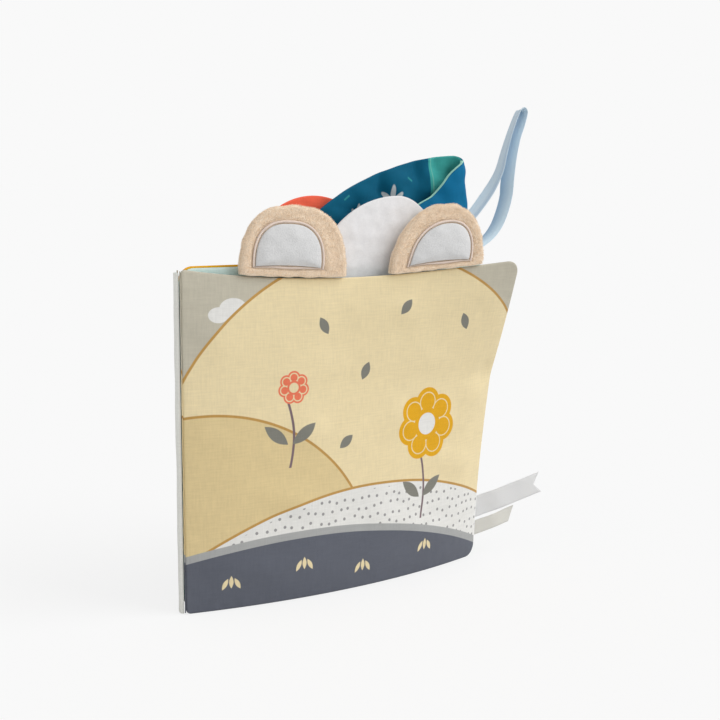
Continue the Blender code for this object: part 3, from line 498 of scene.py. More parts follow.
def flower(paint, colour, u, v, size, petals, heart):
    """Round petals with a line inside their edge, on a bent stem with two leaves."""
    stem = (abs(paint.disc(u - 60, v - size - 18, 60)) - 0.7).higher(v - size - 34 - paint.v)
    stem = stem.higher(paint.v - v).higher(u - 4 - paint.u)
    colour = paint.fill(colour, stem, BARK)
    for side in (-1, 1):
        leaf = paint.tilted(u + side * 8 - 2, v - size - 16, side * 0.9, 8.5, 3.2)
        colour = paint.fill(colour, leaf, PEBBLE)
    head = paint.disc(u, v, size * 0.6)
    for turn in np.arange(PETALS) * math.tau / PETALS:
        petal_u, petal_v = u + size * 0.6 * math.sin(turn), v + size * 0.6 * math.cos(turn)
        head = head.lower(paint.disc(petal_u, petal_v, size * 0.4))
    colour = paint.fill(colour, head, petals)
    colour = paint.line(colour, head + size * 0.14, 0.3, CREAM)
    return paint.fill(colour, paint.disc(u, v, size * 0.3), heart)


def front_print(paint):
    """Cream hills on a warm grey ground, a dotted slope, slate earth, and round flowers."""
    colour = GREIGE
    for u, v, size in ((19, 156, 5.5), (27, 159, 7.5), (36, 156, 5.5)):
        colour = paint.fill(colour, paint.disc(u, v, size, 1.35), BAND_WHITE)
    for u, top, radius, shade in ((110, 187, 126, CREAM), (12, 104, 100, CREAM_SHADE)):
        slope = hill(paint, u, top, radius)
        colour = paint.fill(colour, slope, shade)
        colour = paint.line(colour, slope, OUTLINE_HALF_WIDTH, OUTLINE)
    seeds = ((78, 148, -0.5), (104, 122, 0.4), (128, 156, 0.7), (168, 146, -0.4), (92, 84, 0.9))
    for u, v, turn in seeds:
        colour = paint.fill(colour, paint.tilted(u, v, turn, 5.2, 2.6), PEBBLE)
    colour = flower(paint, colour, 60, 116, 9, CORAL_SPOT, CREAM)
    slope = hill(paint, 112, 58, 210)
    colour = paint.fill(colour, slope, BAND_WHITE)
    dotted = paint.inside(slope + 2.4) * paint.spots(5.4, 0.85, 0.42)
    colour = paint.mix(dotted, colour, DOT_GREY)
    colour = paint.line(colour, slope, OUTLINE_HALF_WIDTH, OUTLINE)
    ground = hill(paint, 70, 34, 330)
    colour = paint.fill(colour, ground - 4, BAND_HEM)
    colour = paint.fill(colour, ground, SLATE)
    colour = flower(paint, colour, 148, 88, 21, GOLD, BAND_WHITE)
    for u, v in ((24, 13), (66, 18), (104, 11), (150, 15)):
        for turn in (-1, 0, 1):
            blade = paint.tilted(u + turn * 3.4, v + 2 - abs(turn), -turn * 0.5, 3.4, 1.2)
            colour = paint.fill(colour, blade, CREAM)
    return colour


def dotted_print(ground, dots, pitch, radius, base=None):
    """A colour scattered with dots, perhaps over a band of another colour at the bottom."""

    def colour_of(paint):
        colour = paint.mix(paint.spots(pitch, radius), ground, dots)
        return paint.fill(colour, hill(paint, 120, 34, 340), base) if base else colour

    return colour_of


AQUA_COLOUR = srgb(212, 232, 226)
YELLOW_COLOUR = srgb(244, 178, 8)
MINT_COLOUR = srgb(112, 190, 176)
CORAL_COLOUR = srgb(250, 104, 74)

AQUA_CLOTH = fabric("aqua_cloth", dotted_print(AQUA_COLOUR, BAND_WHITE, 16, 2.2, MINT_COLOUR))
YELLOW_CLOTH = fabric("yellow_cloth", dotted_print(YELLOW_COLOUR, BAND_WHITE, 12, 1.5))
MINT_CLOTH = fabric("mint_cloth", dotted_print(MINT_COLOUR, BAND_WHITE, 14, 1.6, AQUA_COLOUR))
CORAL_CLOTH = fabric("coral_cloth", dotted_print(CORAL_COLOUR, CREAM, 18, 2.4, YELLOW_COLOUR))
BACK_CLOTH = fabric("back_cloth", dotted_print(GREIGE, BAND_WHITE, 15, 1.9, SLATE))
FRONT_CLOTH = fabric("front_cloth", front_print)

for cloth in (
    ("front_print", FRONT, -1, FRONT_CLOTH, "printed_cover", "front_cover_cloth", 120, 108),
    ("front_lining", FRONT, 1, AQUA_CLOTH, "aqua_cloth", "front_cover_lining"),
    ("aqua_page", AQUA, -1, AQUA_CLOTH, "aqua_cloth", "aqua_leaf_front"),
    ("mint_page", AQUA, 1, MINT_CLOTH, "mint_cloth", "aqua_leaf_back"),
    ("yellow_page", YELLOW, -1, YELLOW_CLOTH, "yellow_cloth", "yellow_leaf_front"),
    ("coral_page", YELLOW, 1, CORAL_CLOTH, "coral_cloth", "yellow_leaf_back"),
    ("back_lining", BACK, -1, MINT_CLOTH, "mint_cloth", "back_cover_lining"),
    ("back_print", BACK, 1, BACK_CLOTH, "greige_cloth", "back_cover_cloth", 90, 80),
):
    panel_cloth(*cloth)


# Spine strip
# A plain outer cloth and its lining, sewn along the covers' spine edges. Each cover's own cloth rolls
# over the strip's seam allowance there.

SPINE_COLOUR = srgb(250, 250, 243)
SPINE_BEHIND = 0.0018
SPINE_MARGIN = 0.0008
SPINE_FLAT = (0.0102, 0.178)
SPINE_EDGE_SHARE = 0.12
SPINE_BULGE = 0.0006
SPINE_TURN_IN = 0.0004
SPINE_WAVE, SPINE_WAVE_LENGTH = 0.0002, 0.03
SPINE_NEAR, SPINE_FAR = 0.00015, 0.00065
SPINE_END_GAP = 0.0002
SPINE_LINING_INSET = 0.0006
ROLL_BEHIND = 0.00034
ROLL_HALF_DEPTH = 0.00030
ROLL_HALF_WIDTH = 0.0005
ROLL_WAVE, ROLL_WAVE_LENGTH = 0.00008, 0.012
ROLL_SHIFT = 0.0001
ROLL_BOTTOM, ROLL_TOP_GAP = 0.0008, 0.0012


def unit(arrows):
    return arrows / np.linalg.norm(arrows, axis=-1)[..., None]


def lengths(path):
    """How far along a path each of its points lies."""
    return np.concatenate([[0], np.cumsum(np.linalg.norm(np.diff(path, axis=0), axis=1))])


def spine_sheet(name, node, near, far, inset, material, slot):
    """One cloth of the strip, from the front cover's seam to the back cover's."""
    span = BACK.hinge - FRONT.hinge
    length, along = np.linalg.norm(span), unit(span)
    out = np.array((-along[1], along[0], 0))
    share = spread(0, 1, 24)[:, None]
    arch = 1 - (2 * share - 1) ** 2
    z = np.linspace(SPINE_END_GAP, SPINE_FLAT[1] - SPINE_END_GAP, 60)
    run = SPINE_MARGIN + inset + (length - 2 * (SPINE_MARGIN + inset)) * share
    outer = far
    if far > 0:
        turned = rounded(np.minimum(share, 1 - share) / SPINE_EDGE_SHARE)
        outer = (far + SPINE_TURN_IN) * turned - SPINE_TURN_IN

    def layer(depth):
        wave = SPINE_WAVE * ripple(z, 0, SPINE_WAVE_LENGTH, 5) * arch
        offset = SPINE_BEHIND + depth + SPINE_BULGE * arch + wave
        return FRONT.hinge + along * run[..., None] + out * offset[..., None] + z[:, None] * UP

    shape = shell(layer(outer), layer(outer - (far - near)))
    made = piece(name, shape, pairs(run, z), material, "spine", slot, node)


def tube(path, across_a, across_b, around, flat_rate):
    """A closed tube along a path, whose half-sections are given by two tables of vectors, and the
    flat places of its points."""
    turns = np.linspace(0, math.tau, around, endpoint=False)
    table = path[:, None] + across_a[:, None] * np.cos(turns)[:, None]
    table = table + across_b[:, None] * np.sin(turns)[:, None]
    last = (len(path) - 1) * around
    caps = [tuple(range(around)), tuple(range(last, last + around))]
    shape = (table.reshape(-1, 3), quads(len(path), around, ring=True) + caps)
    return shape, pairs(lengths(path)[:, None], turns * flat_rate)


def seam_roll(name, panel, toward, cloth, slot):
    """A cover's own seam along the spine, rolled over the strip's allowance."""
    z = np.linspace(ROLL_BOTTOM, panel.height - ROLL_TOP_GAP, 90)
    heading = panel.headings(z)[0]
    back = -direction(heading)
    side = direction(heading + 90)
    wave = ROLL_WAVE * ripple(z, 0, ROLL_WAVE_LENGTH, panel.seed)[:, None]
    path = panel.hinge + back * (ROLL_BEHIND + wave) - side * toward * ROLL_SHIFT
    path[:, 2] = z
    shape, flat = tube(path, back * ROLL_HALF_DEPTH, side * ROLL_HALF_WIDTH, 14, 0.0005)
    piece(name, shape, flat[..., ::-1], cloth, panel.body, slot)


SPINE_CLOTH = fabric("spine_cloth", SPINE_COLOUR)
spine_sheet("spine_strip", "spine_cover", SPINE_NEAR, SPINE_FAR, 0, SPINE_CLOTH, "spine_cloth")
looks = (SPINE_LINING_INSET, AQUA_CLOTH, "aqua_cloth")
spine_sheet("spine_inner_strip", "spine_lining", -SPINE_FAR, -SPINE_NEAR, *looks)
seam_roll("front_seam_roll", FRONT, 1, FRONT_CLOTH, "printed_cover")
seam_roll("back_seam_roll", BACK, -1, BACK_CLOTH, "greige_cloth")


# Ears
# Stuffed short plush, whose halves meet in a puckered bead along the seam. A white fleece patch is
# let in at the front, and its satin-stitched edge draws the plush down. The pile is short hairs.

SEAM_ROLL = 0.0009
RING_SHARES = np.cos(np.linspace(0, 0.985 * math.pi / 2, 30))
LUMP_LENGTH = 0.012
BEAD_PUCKER_DEPTH = 0.0003
BEAD_PUCKER_LENGTH = 0.009
BEAD_START = 0.3
INNER_INSET_SHARE = 0.6
INNER_DEPTH_SHARE = 0.8
LOFT_ROUNDNESS = 0.7
BEAD_ARC = np.linspace(-1.32, 1.45, 16)[:, None]


def ring_shell(front, back):
    """The points and faces between two tables of rings, whose last ring is closed at its middle."""
    rings, around = front.shape[:2]
    half = rings * around + 1
    points, faces = [], []
    for start, table in ((0, front), (half, back)):
        points += [*table.reshape(-1, 3), table[-1].mean(axis=0)]
        faces += quads(rings, around, start, ring=True)
        last, middle = start + (rings - 1) * around, start + half - 1
        faces += [(last + i, last + (i + 1) % around, middle) for i in range(around)]
    faces += [(i, (i + 1) % around, (i + 1) % around + half, i + half) for i in range(around)]
    return np.array(points), faces


def half_round(half_width, height, roundness=2.0, bow=0.0, base_count=60, arc_count=170):
    """An outline with a base line along s, bowed up in its middle, and a round top."""
    share = np.linspace(-1, 1, base_count, endpoint=False)
    angle = np.linspace(0, math.pi, arc_count, endpoint=False)
    power = 2 / roundness
    s = half_width * np.sign(np.cos(angle)) * np.abs(np.cos(angle)) ** power
    arc = pairs(s, height * np.sin(angle) ** power)
    return np.concatenate([pairs(half_width * share, bow * (1 - share**2)), arc])


def loft_profile(loft, power=2):
    """How much a stuffing lifts each ring of a pad."""
    return lambda share: loft * (1 - share**power) ** LOFT_ROUNDNESS


class Outline:
    """A closed line in (s, t) over a seam, seen from a centre inside it."""

    def __init__(self, points, centre):
        self.points = points
        self.centre = np.array(centre)
        self.spokes = points - self.centre
        self.reach = np.hypot(*self.spokes.T)

    def spot(self, share):
        """Places (s, t) at shares of the way from the centre to the outline."""
        return [c + spoke * share for c, spoke in zip(self.centre, self.spokes.T)]

    def distances(self, s, t):
        """How far places and, in their directions, the outline lie from the centre."""
        s, t = s - self.centre[0], t - self.centre[1]
        angles = np.arctan2(self.spokes[:, 1], self.spokes[:, 0])
        return np.hypot(s, t), np.interp(np.arctan2(t, s), angles, self.reach, period=math.tau)

    def ring_flat(self, s, t):
        """The flat places of a ring shell's points."""
        return np.concatenate([pairs(s, t).reshape(-1, 2), [self.centre]])


class Pad(Outline):
    """Stuffing between two cloths on a seam. Its rings run from the outline towards the centre."""

    def __init__(self, panel, middle, points, centre, profile, forward=0.0):
        super().__init__(points, centre)
        self.panel = panel
        self.middle = middle
        self.profile = profile
        self.forward = forward

    def place(self, s, t, offset):
        return self.panel.above(self.middle + s, t, offset - self.forward)

    def lump(self, s, t, share, side, depth):
        """The lumps of the stuffing on one side."""
        waves = ripple(s, t, LUMP_LENGTH, self.panel.seed + side)
        return depth * waves * swell((1 - share) * 3)

    def cloth(self, name, side, thickness, lumps, material, body, slot, node, bead=0.0, relief=None):
        """The pad's cloth on one side. A bead swells over the seam."""
        share = np.repeat(RING_SHARES[:, None], len(self.points), axis=1)
        s, t = self.spot(share)
        inset = 1 - INNER_INSET_SHARE * thickness / np.hypot(*self.points.T).max()
        inset = np.minimum(share, inset)
        roll = rounded((1 - share) * self.reach.mean() / SEAM_ROLL)
        outer = GAP / 2 + (SEAM_HALF_THICKNESS - GAP / 2) * roll
        outer = outer + self.profile(share) + self.lump(s, t, share, side, lumps)
        if bead:
            swollen = swell((1 - share) * self.reach / bead + BEAD_START)
            outer = np.maximum(outer, 2 * bead * swollen)
        inner = np.maximum(outer - thickness, GAP / 4)
        if bead:
            kept = share[:, 0] < 1 - bead / self.reach.max()
            waves = 1 + ripple(*self.points.T, BEAD_PUCKER_LENGTH, self.panel.seed + 7)
            pucker = BEAD_PUCKER_DEPTH * np.clip(waves, 0, 2)

            def over_seam(radius, share, rise):
                """Rings round the bead, and then the rings that lie inside it."""
                rim = 1 - (bead + pucker - radius * np.cos(BEAD_ARC)) / self.reach
                bulge = np.broadcast_to(bead + radius * np.sin(BEAD_ARC), rim.shape)
                share = np.concatenate([rim, np.minimum(share[kept], rim[-1])])
                return share, np.concatenate([bulge, rise[kept]])

            share, outer = over_seam(bead, share, outer)
            inset, inner = over_seam(bead - thickness * INNER_DEPTH_SHARE, inset, inner)
            s, t = self.spot(share)
        if relief:
            outer = outer + relief(s, t)
            inner = np.minimum(inner, outer - thickness * INNER_DEPTH_SHARE)
        back = self.place(*self.spot(inset), side * inner)
        shape = ring_shell(self.place(s, t, side * outer), back)
        return piece(name, shape, self.ring_flat(s, t), material, body, slot, node)


EAR_LOFT, EAR_LOFT_POWER = 0.0046, 2.6
EAR_BEADS = {"front": 0.0019, "back": 0.0013}
EAR_LUMPS = 0.00022
PLUSH_THICKNESS = 0.001
STITCH_SINK, STITCH_FADE = 0.0010, 0.002
SINK_OUTWARD, SINK_INWARD = 0.0019, 0.0040
STITCH_RIDGE = 0.06
STITCH_OUT = 0.00125
STITCH_RISE = 0.00045
STITCH_HALF_WIDTH = 0.00062
STITCH_HALF_HEIGHT = 0.00042
PATCH_BOW = 0.0012
PATCH_GAP = 0.0004
PATCH_CLEAR = 0.0022
PATCH_LIFT = 0.00015
PATCH_LOFT = 0.00065
PATCH_WAVE, PATCH_WAVE_LENGTH = 0.00008, 0.008
PATCH_EDGE_RATE = 22
HAIR_LENGTH = 0.0009
HAIR_LENGTH_SHARES = (0.6, 1.15)
HAIR_HALF_WIDTH = 0.00011
HAIR_COUNT = 15000
HAIR_BACK_SHARE = 0.5
HAIR_SPREAD = 0.40
HAIR_DROOP = 0.25
HAIR_ROOT = 0.0001
CENTRE_SHARE = 0.42


def plush_paint(name, colour, depth, tuft_size=0.5, speckle=0.2):
    """Short pile: fine tufts over soft patches where it lies in different ways."""
    paint = Paint(name, Roughness=0.95, Sheen_Weight=0.4, Sheen_Roughness=0.5)
    tuft = paint.noise(tuft_size, 2)
    patchy = paint.noise(2.4, 3)
    shade = 1.02 + (tuft - 0.5) * speckle + (patchy - 0.5) * 0.16
    return paint.finish(paint.shaded(colour, shade), tuft + patchy * 0.6, depth)


def thread_paint(name, colour):
    """Satin stitch: fine threads across the band."""
    paint = Paint(name, Roughness=0.5, Sheen_Weight=0.2)
    thread = paint.stripes(paint.u, 0.28)
    shade = 0.86 + thread * 0.14 + (paint.noise(3, 1) - 0.5) * 0.1
    return paint.finish(paint.shaded(colour, shade), thread, 0.12)


PLUSH = plush_paint("plush", srgb(245, 225, 200), 0.5, speckle=0.7)
FLEECE = plush_paint("fleece", srgb(214, 214, 214), 0.2, 0.8, 0.25)
THREAD = thread_paint("thread", srgb(242, 222, 208))


def hairs(name, cloth, clear, length, seed, body):
    """Short tapered hairs all over a cloth's outer side, apart from where clear says so."""
    mesh = cloth.data
    chance = np.random.default_rng(seed)
    half = len(mesh.vertices) // 2
    outer = [p for p in mesh.polygons if len(p.vertices) == 4 and max(p.vertices) < half]
    areas = np.array([p.area for p in outer])
    picks = chance.choice(len(outer), HAIR_COUNT, p=areas / areas.sum())
    corners = np.array([p.vertices[:] for p in outer])[picks]
    normal = np.array([p.normal[:] for p in outer])[picks]
    spots = np.array([v.co[:] for v in mesh.vertices])
    flat = np.zeros((len(spots), 2))
    for loop, uv in zip(mesh.loops, mesh.uv_layers["flat"].data):
        flat[loop.vertex_index] = uv.uv
    x, y = chance.random((2, HAIR_COUNT))
    weights = np.stack([(1 - x) * (1 - y), x * (1 - y), x * y, (1 - x) * y], axis=1)[..., None]
    place = (flat[corners] * weights).sum(axis=1)
    root = (spots[corners] * weights).sum(axis=1)
    way = unit(normal + chance.normal(0, HAIR_SPREAD, root.shape) - HAIR_DROOP * UP)
    side = unit(np.cross(way, chance.normal(0, 1, root.shape)))
    other = np.cross(way, side)
    points = []
    for turn in (0, math.tau / 3, 2 * math.tau / 3):
        around = side * math.cos(turn) + other * math.sin(turn)
        points.append(root - normal * HAIR_ROOT + around * HAIR_HALF_WIDTH)
    reach = length * chance.uniform(*HAIR_LENGTH_SHARES, (HAIR_COUNT, 1))
    points.append(root + way * reach)
    kept = ~clear(*place.T)
    points = np.stack(points, axis=1)[kept].reshape(-1, 3)
    starts = np.arange(0, len(points), 4)[:, None, None]
    faces = (starts + np.array([(0, 1, 3), (1, 2, 3), (2, 0, 3)])).reshape(-1, 3).tolist()
    flat = np.repeat(place[kept], 4, axis=0)
    piece(name, (points, faces), flat, PLUSH, body, "beige_plush")


def leaning(points, share):
    """Points (s, t) whose tops lean by a share of their height."""
    return points + points[..., 1:] * (share, 0)


def rounded_hill(size, roundness, lean, *bow_and_counts):
    """A leaning outline and its centre."""
    points = half_round(*size, roundness, *bow_and_counts)
    return [leaning(p, lean) for p in (points, np.array((0, size[1] * CENTRE_SHARE)))]


def make_ear(side, middle, seed, size, roundness, lean, patch_size, patch_place, *patch_form):
    """One ear over the front cover's seam. Sizes are half-widths and heights."""
    body = f"{side}_ear"
    profile = loft_profile(EAR_LOFT, EAR_LOFT_POWER)
    pad = Pad(FRONT, middle, *rounded_hill(size, roundness, lean), profile)
    patch = rounded_hill(patch_size, *patch_form, PATCH_BOW, 50, 120)
    patch = Outline(*(place + patch_place for place in patch))

    def beyond_patch(s, t):
        """How far outside the patch's edge a point lies, along its spoke."""
        far, reach = patch.distances(s, t)
        return far - reach

    def sink(s, t):
        """The stitching draws the cloth down around the patch."""
        out = beyond_patch(s, t) - STITCH_OUT
        width = np.where(out > 0, SINK_OUTWARD, SINK_INWARD)
        return -STITCH_SINK * bump(out, width) * np.clip(t / STITCH_FADE, 0, 1)

    def on_ear(s, t, rise):
        """Points a little above the front's plush."""
        far, reach = pad.distances(s, t)
        share = np.clip(far / reach, 0, 1)
        surface = SEAM_HALF_THICKNESS + pad.profile(share) + pad.lump(s, t, share, -1, EAR_LUMPS)
        return pad.place(s, t, -(np.maximum(surface, 2 * EAR_BEADS["front"]) + sink(s, t) + rise))

    def bare(s, t):
        """Where the front grows no pile."""
        return (beyond_patch(s, t) < PATCH_CLEAR) | (t < HAIR_LENGTH)

    for label, toward, relief, clear, length in (
        ("front", -1, sink, bare, HAIR_LENGTH),
        ("back", 1, None, lambda s, t: t < HAIR_LENGTH, HAIR_LENGTH * HAIR_BACK_SHARE),
    ):
        looks = (EAR_LUMPS, PLUSH, body, "beige_plush", f"{body}_{label}")
        name = f"{body}_plush_{label}"
        cloth = pad.cloth(name, toward, PLUSH_THICKNESS, *looks, EAR_BEADS[label], relief)
        hairs(f"{body}_pile_{label}", cloth, clear, length, seed + toward, body)

    share = np.cos(np.linspace(0, 0.98 * math.pi / 2, 18))[:, None]
    s, t = patch.spot(share)
    top = PATCH_GAP + PATCH_LIFT + PATCH_LOFT * rounded((1 - share) * PATCH_EDGE_RATE)
    top = top + PATCH_WAVE * ripple(s, t, PATCH_WAVE_LENGTH, seed)
    shape = ring_shell(on_ear(s, t, top), on_ear(s, t, PATCH_GAP))
    name, node = f"{body}_fleece_patch", f"{body}_patch"
    made = piece(name, shape, patch.ring_flat(s, t), FLEECE, body, "white_fleece", node)

    count = len(patch.spokes)
    where = np.linspace(0, count, count * 4, endpoint=False)
    low = where.astype(int)
    mixed = (where - low)[:, None]
    path = patch.spokes[low] * (1 - mixed) + patch.spokes[(low + 1) % count] * mixed
    turns = np.linspace(0, math.tau, 10, endpoint=False)
    ridge = 1 + STITCH_RIDGE * np.sin(np.arange(len(path)) * math.pi / 1.5)[:, None]
    reach = STITCH_OUT + STITCH_HALF_WIDTH * np.cos(turns) * ridge
    rise = PATCH_GAP + STITCH_RISE + STITCH_HALF_HEIGHT * np.sin(turns) * ridge
    band = patch.centre + path[:, None] + unit(path)[:, None] * reach[..., None]
    table = on_ear(band[..., 0], band[..., 1], rise)
    shape = (table.reshape(-1, 3), quads(*rise.shape, ring=True, loop=True))
    run = np.cumsum(np.hypot(*np.diff(path, axis=0, append=path[:1]).T))[:, None]
    name, node = f"{body}_satin_stitch", f"{body}_stitching"
    piece(name, shape, pairs(run, turns * 0.0003), THREAD, body, "beige_thread", node)


patch = ((0.0183, 0.0228), (-0.0036, 0.0052), 2.6, 0.04)
make_ear("left", 0.0610, 300, (0.030, 0.0378), 2.5, 0.04, *patch)
patch = ((0.0183, 0.0212), (0.0008, 0.0040), 2.3, 0.22)
make_ear("right", 0.1460, 400, (0.0285, 0.0360), 2.1, 0.13, *patch)


# White flap
# A thinly padded hill of white velour, sewn to the aqua leaf's front just under its top seam.

WHITE_APEX = 0.1272
WHITE_LEFT = 0.051
WHITE_RIGHT = 0.030
WHITE_HEIGHT = 0.0443
WHITE_DROP = 0.0085
WHITE_FORWARD = 0.003
WHITE_ROUNDNESS = 0.55
FLAP_LUMPS = 0.0002
PAD_INSET = 0.0008
PAD_SHARE = 0.97
FLAP_THICKNESS = 0.0005


def white_outline():
    base = pairs(np.linspace(-WHITE_LEFT, WHITE_RIGHT, 60, endpoint=False), -WHITE_DROP)
    share = np.cos(np.linspace(0, math.pi, 180, endpoint=False))
    reach = np.where(share > 0, WHITE_RIGHT, WHITE_LEFT)
    rise = WHITE_HEIGHT * (1 - share**2) ** WHITE_ROUNDNESS - WHITE_DROP
    return np.concatenate([base, pairs(share * reach, rise)])


def padded_flap(name, pad, material, slot):
    """Two cloths of a flap, and the thin pad between them."""
    looks = (FLAP_THICKNESS, FLAP_LUMPS, material, name, slot)
    for label, toward in (("front", -1), ("back", 1)):
        made = pad.cloth(f"{name}_cloth_{label}", toward, *looks, f"{name}_{label}")
    share = RING_SHARES[:, None]
    s, t = pad.spot(share * PAD_SHARE)
    depth = np.maximum(SEAM_HALF_THICKNESS + pad.profile(share) - PAD_INSET, GAP / 5)
    shape = ring_shell(pad.place(s, t, -depth), pad.place(s, t, depth))
    piece(f"{name}_pad", shape, pad.ring_flat(s, t), FLEECE, name, "wadding", f"{name}_wadding")


WHITE_CLOTH = plush_paint("white_velour", srgb(230, 229, 230), 0.10)
WHITE_CENTRE = (0, WHITE_HEIGHT * CENTRE_SHARE - WHITE_DROP)
WHITE_PROFILE = loft_profile(0.0008)
WHITE_PAD = Pad(AQUA, WHITE_APEX, white_outline(), WHITE_CENTRE, WHITE_PROFILE, WHITE_FORWARD)
padded_flap("white_flap", WHITE_PAD, WHITE_CLOTH, "white_cloth")


# Coral flap
# A half-round padded flap on the back cover's top seam, behind the left ear.

CORAL_MIDDLE = 0.083
CORAL_HALF_WIDTH = 0.040
CORAL_HEIGHT = 0.0360
CORAL_OUTLINE = half_round(CORAL_HALF_WIDTH, CORAL_HEIGHT)
CORAL_CENTRE = (0, CORAL_HEIGHT * CENTRE_SHARE)
CORAL_PAD = Pad(BACK, CORAL_MIDDLE, CORAL_OUTLINE, CORAL_CENTRE, loft_profile(0.0012))
CORAL_FLAP_CLOTH = fabric("coral_flap_cloth", CORAL_COLOUR)
padded_flap("coral_flap", CORAL_PAD, CORAL_FLAP_CLOTH, "coral_cloth")


# Blue crinkle flap
# Two printed cloths with a crinkle film between them, on the yellow leaf's top seam. Its free end is
# curled forward in a half circle, and its return's hem is piped in mint. The film sets small creases.

BLUE_START = 0.071
BLUE_TURN = 0.1752
BLUE_CURL_LEAN = 0.0040
BLUE_LEAN_START = 0.130
BLUE_HEIGHT = 0.0575
BLUE_RISE_START = 0.067
BLUE_RISE_LENGTH = 0.116
CURL_RADIUS = 0.0040
RETURN_LENGTH = 0.039
RETURN_HEIGHT = 0.0520
END_HEIGHT = 0.0235
FREE_HEM = 0.004
BLUE_STRAIGHT = BLUE_TURN - BLUE_START
BLUE_CURL = math.pi * CURL_RADIUS
BLUE_LENGTH = BLUE_STRAIGHT + BLUE_CURL + RETURN_LENGTH
CREASE_DEPTH, CREASE_LENGTH = 0.0011, 0.030
CRINKLE_DEPTH, CRINKLE_LENGTH = 0.0005, 0.012
CREASE_START_RATE, CREASE_TOP_LOSS, CREASE_TOP_POWER = 1.2, 0.5, 6
RETURN_WAVE, RETURN_SAG = 0.0013, 0.0012
FILM_HALF_THICKNESS, FILM_INSET = 0.00008, 0.002
FILM_SHARES = (0.01, 0.96)
BLUE_NEAR, BLUE_EDGE, BLUE_FAR = 0.00025, 0.00035, 0.00095
BLUE_ROLLED_EDGE = 0.0008
PIPING_START_SHARE = 0.8
PIPING_LIFT = 0.0004
PIPING_HALF_WIDTH, PIPING_HALF_HEIGHT = 0.00105, 0.0003
DENT_HALF_WIDTH, DENT_HALF_HEIGHT = 0.0036, 0.0065
DENTS = (
    (0.053, 0.040, 0.0034),
    (0.036, 0.024, 0.0028),
    (0.066, 0.030, -0.0020),
    (0.078, 0.050, 0.0026),
    (0.092, 0.052, 0.0030),
    (0.094, 0.036, -0.0022),
    (0.103, 0.046, 0.0024),
)
# The two blues are partly the cloths' own colour and partly painted light: the inner cloth's darker
# ground is painted shade inside the curl, and the outer cloth's brighter ground is painted light.
BLUE_WITH_PAINTED_SHADE = srgb(0, 98, 130)
BLUE_WITH_PAINTED_LIGHT = srgb(0, 112, 158)
MINT_PRINT = srgb(68, 174, 168)
MINT_HEM = srgb(170, 228, 208)
SPRIG_WHITE = srgb(206, 212, 214)
FILM_COLOUR = srgb(225, 225, 222)
DASH_HALF_LENGTH, DASH_HALF_WIDTH = 2.2, 0.5
LEAF_HALF_WIDTH_SHARE = 0.15


def blue_top(s):
    share = (BLUE_START + s - BLUE_RISE_START) / BLUE_RISE_LENGTH
    rise = BLUE_HEIGHT * np.sqrt(np.sin(math.pi / 2 * np.clip(share, 0, 1)))
    turn = np.clip((s - BLUE_STRAIGHT) / BLUE_CURL, 0, 1)
    back = np.clip((s - BLUE_STRAIGHT - BLUE_CURL) / RETURN_LENGTH, 0, 1)
    curl = (RETURN_HEIGHT - BLUE_HEIGHT) * turn**2
    wave = RETURN_WAVE * np.sin(3 * math.pi * back) - RETURN_SAG * np.sin(math.pi * back)
    return rise + curl + (END_HEIGHT - RETURN_HEIGHT) * back + wave


def blue_place(s, share, depth):
    """A point on the flap: s along it, share of its height, and depth towards its outer side."""
    bottom = FREE_HEM * swell((s - BLUE_STRAIGHT) / BLUE_CURL)
    rise = bottom + (blue_top(s) - bottom) * share
    crease = CREASE_DEPTH * ripple(s, rise, CREASE_LENGTH, 7)
    crease = crease + CRINKLE_DEPTH * ripple(s, rise, CRINKLE_LENGTH, 8)
    for dent_s, dent_rise, deep in DENTS:
        dent = bump(s - dent_s, DENT_HALF_WIDTH) * bump(rise - dent_rise, DENT_HALF_HEIGHT)
        crease = crease + deep * dent
    kept = 1 - CREASE_TOP_LOSS * share**CREASE_TOP_POWER
    depth = depth + crease * swell(share * CREASE_START_RATE) * kept
    angle = np.clip((s - BLUE_STRAIGHT) / CURL_RADIUS, 0, math.pi)
    back = np.clip(s - BLUE_STRAIGHT - BLUE_CURL, 0, None)
    straight = np.minimum(s, BLUE_STRAIGHT)
    lean = np.clip((BLUE_START + s - BLUE_LEAN_START) / (BLUE_TURN - BLUE_LEAN_START), 0, 1)
    u = BLUE_START + straight - back + np.sin(angle) * (CURL_RADIUS + depth)
    u = u - BLUE_CURL_LEAN * lean * (rise / BLUE_HEIGHT) ** 2
    return YELLOW.above(u, rise, np.cos(angle) * (CURL_RADIUS + depth) - CURL_RADIUS)


def blue_piece(name, s, share, outer, inner, material, slot, node):
    shape = shell(blue_place(s, share, outer), blue_place(s, share, inner))
    return piece(name, shape, pairs(s, blue_top(s) * share), material, "blue_flap", slot, node)


def sprig(paint, colour, u, v, size, tint):
    """Three narrow leaves on a stem."""
    half_width = size * LEAF_HALF_WIDTH_SHARE
    for turn, length in ((-0.75, size * 0.8), (0, size), (0.75, size * 0.8)):
        along, across = paint.turned(u, v, turn)
        along = (along - length * 0.62) / (length * 0.5)
        leaf = (along**2 + (across / half_width) ** 2) ** 0.5
        colour = paint.fill(colour, (leaf - 1) * half_width, tint)
    return colour


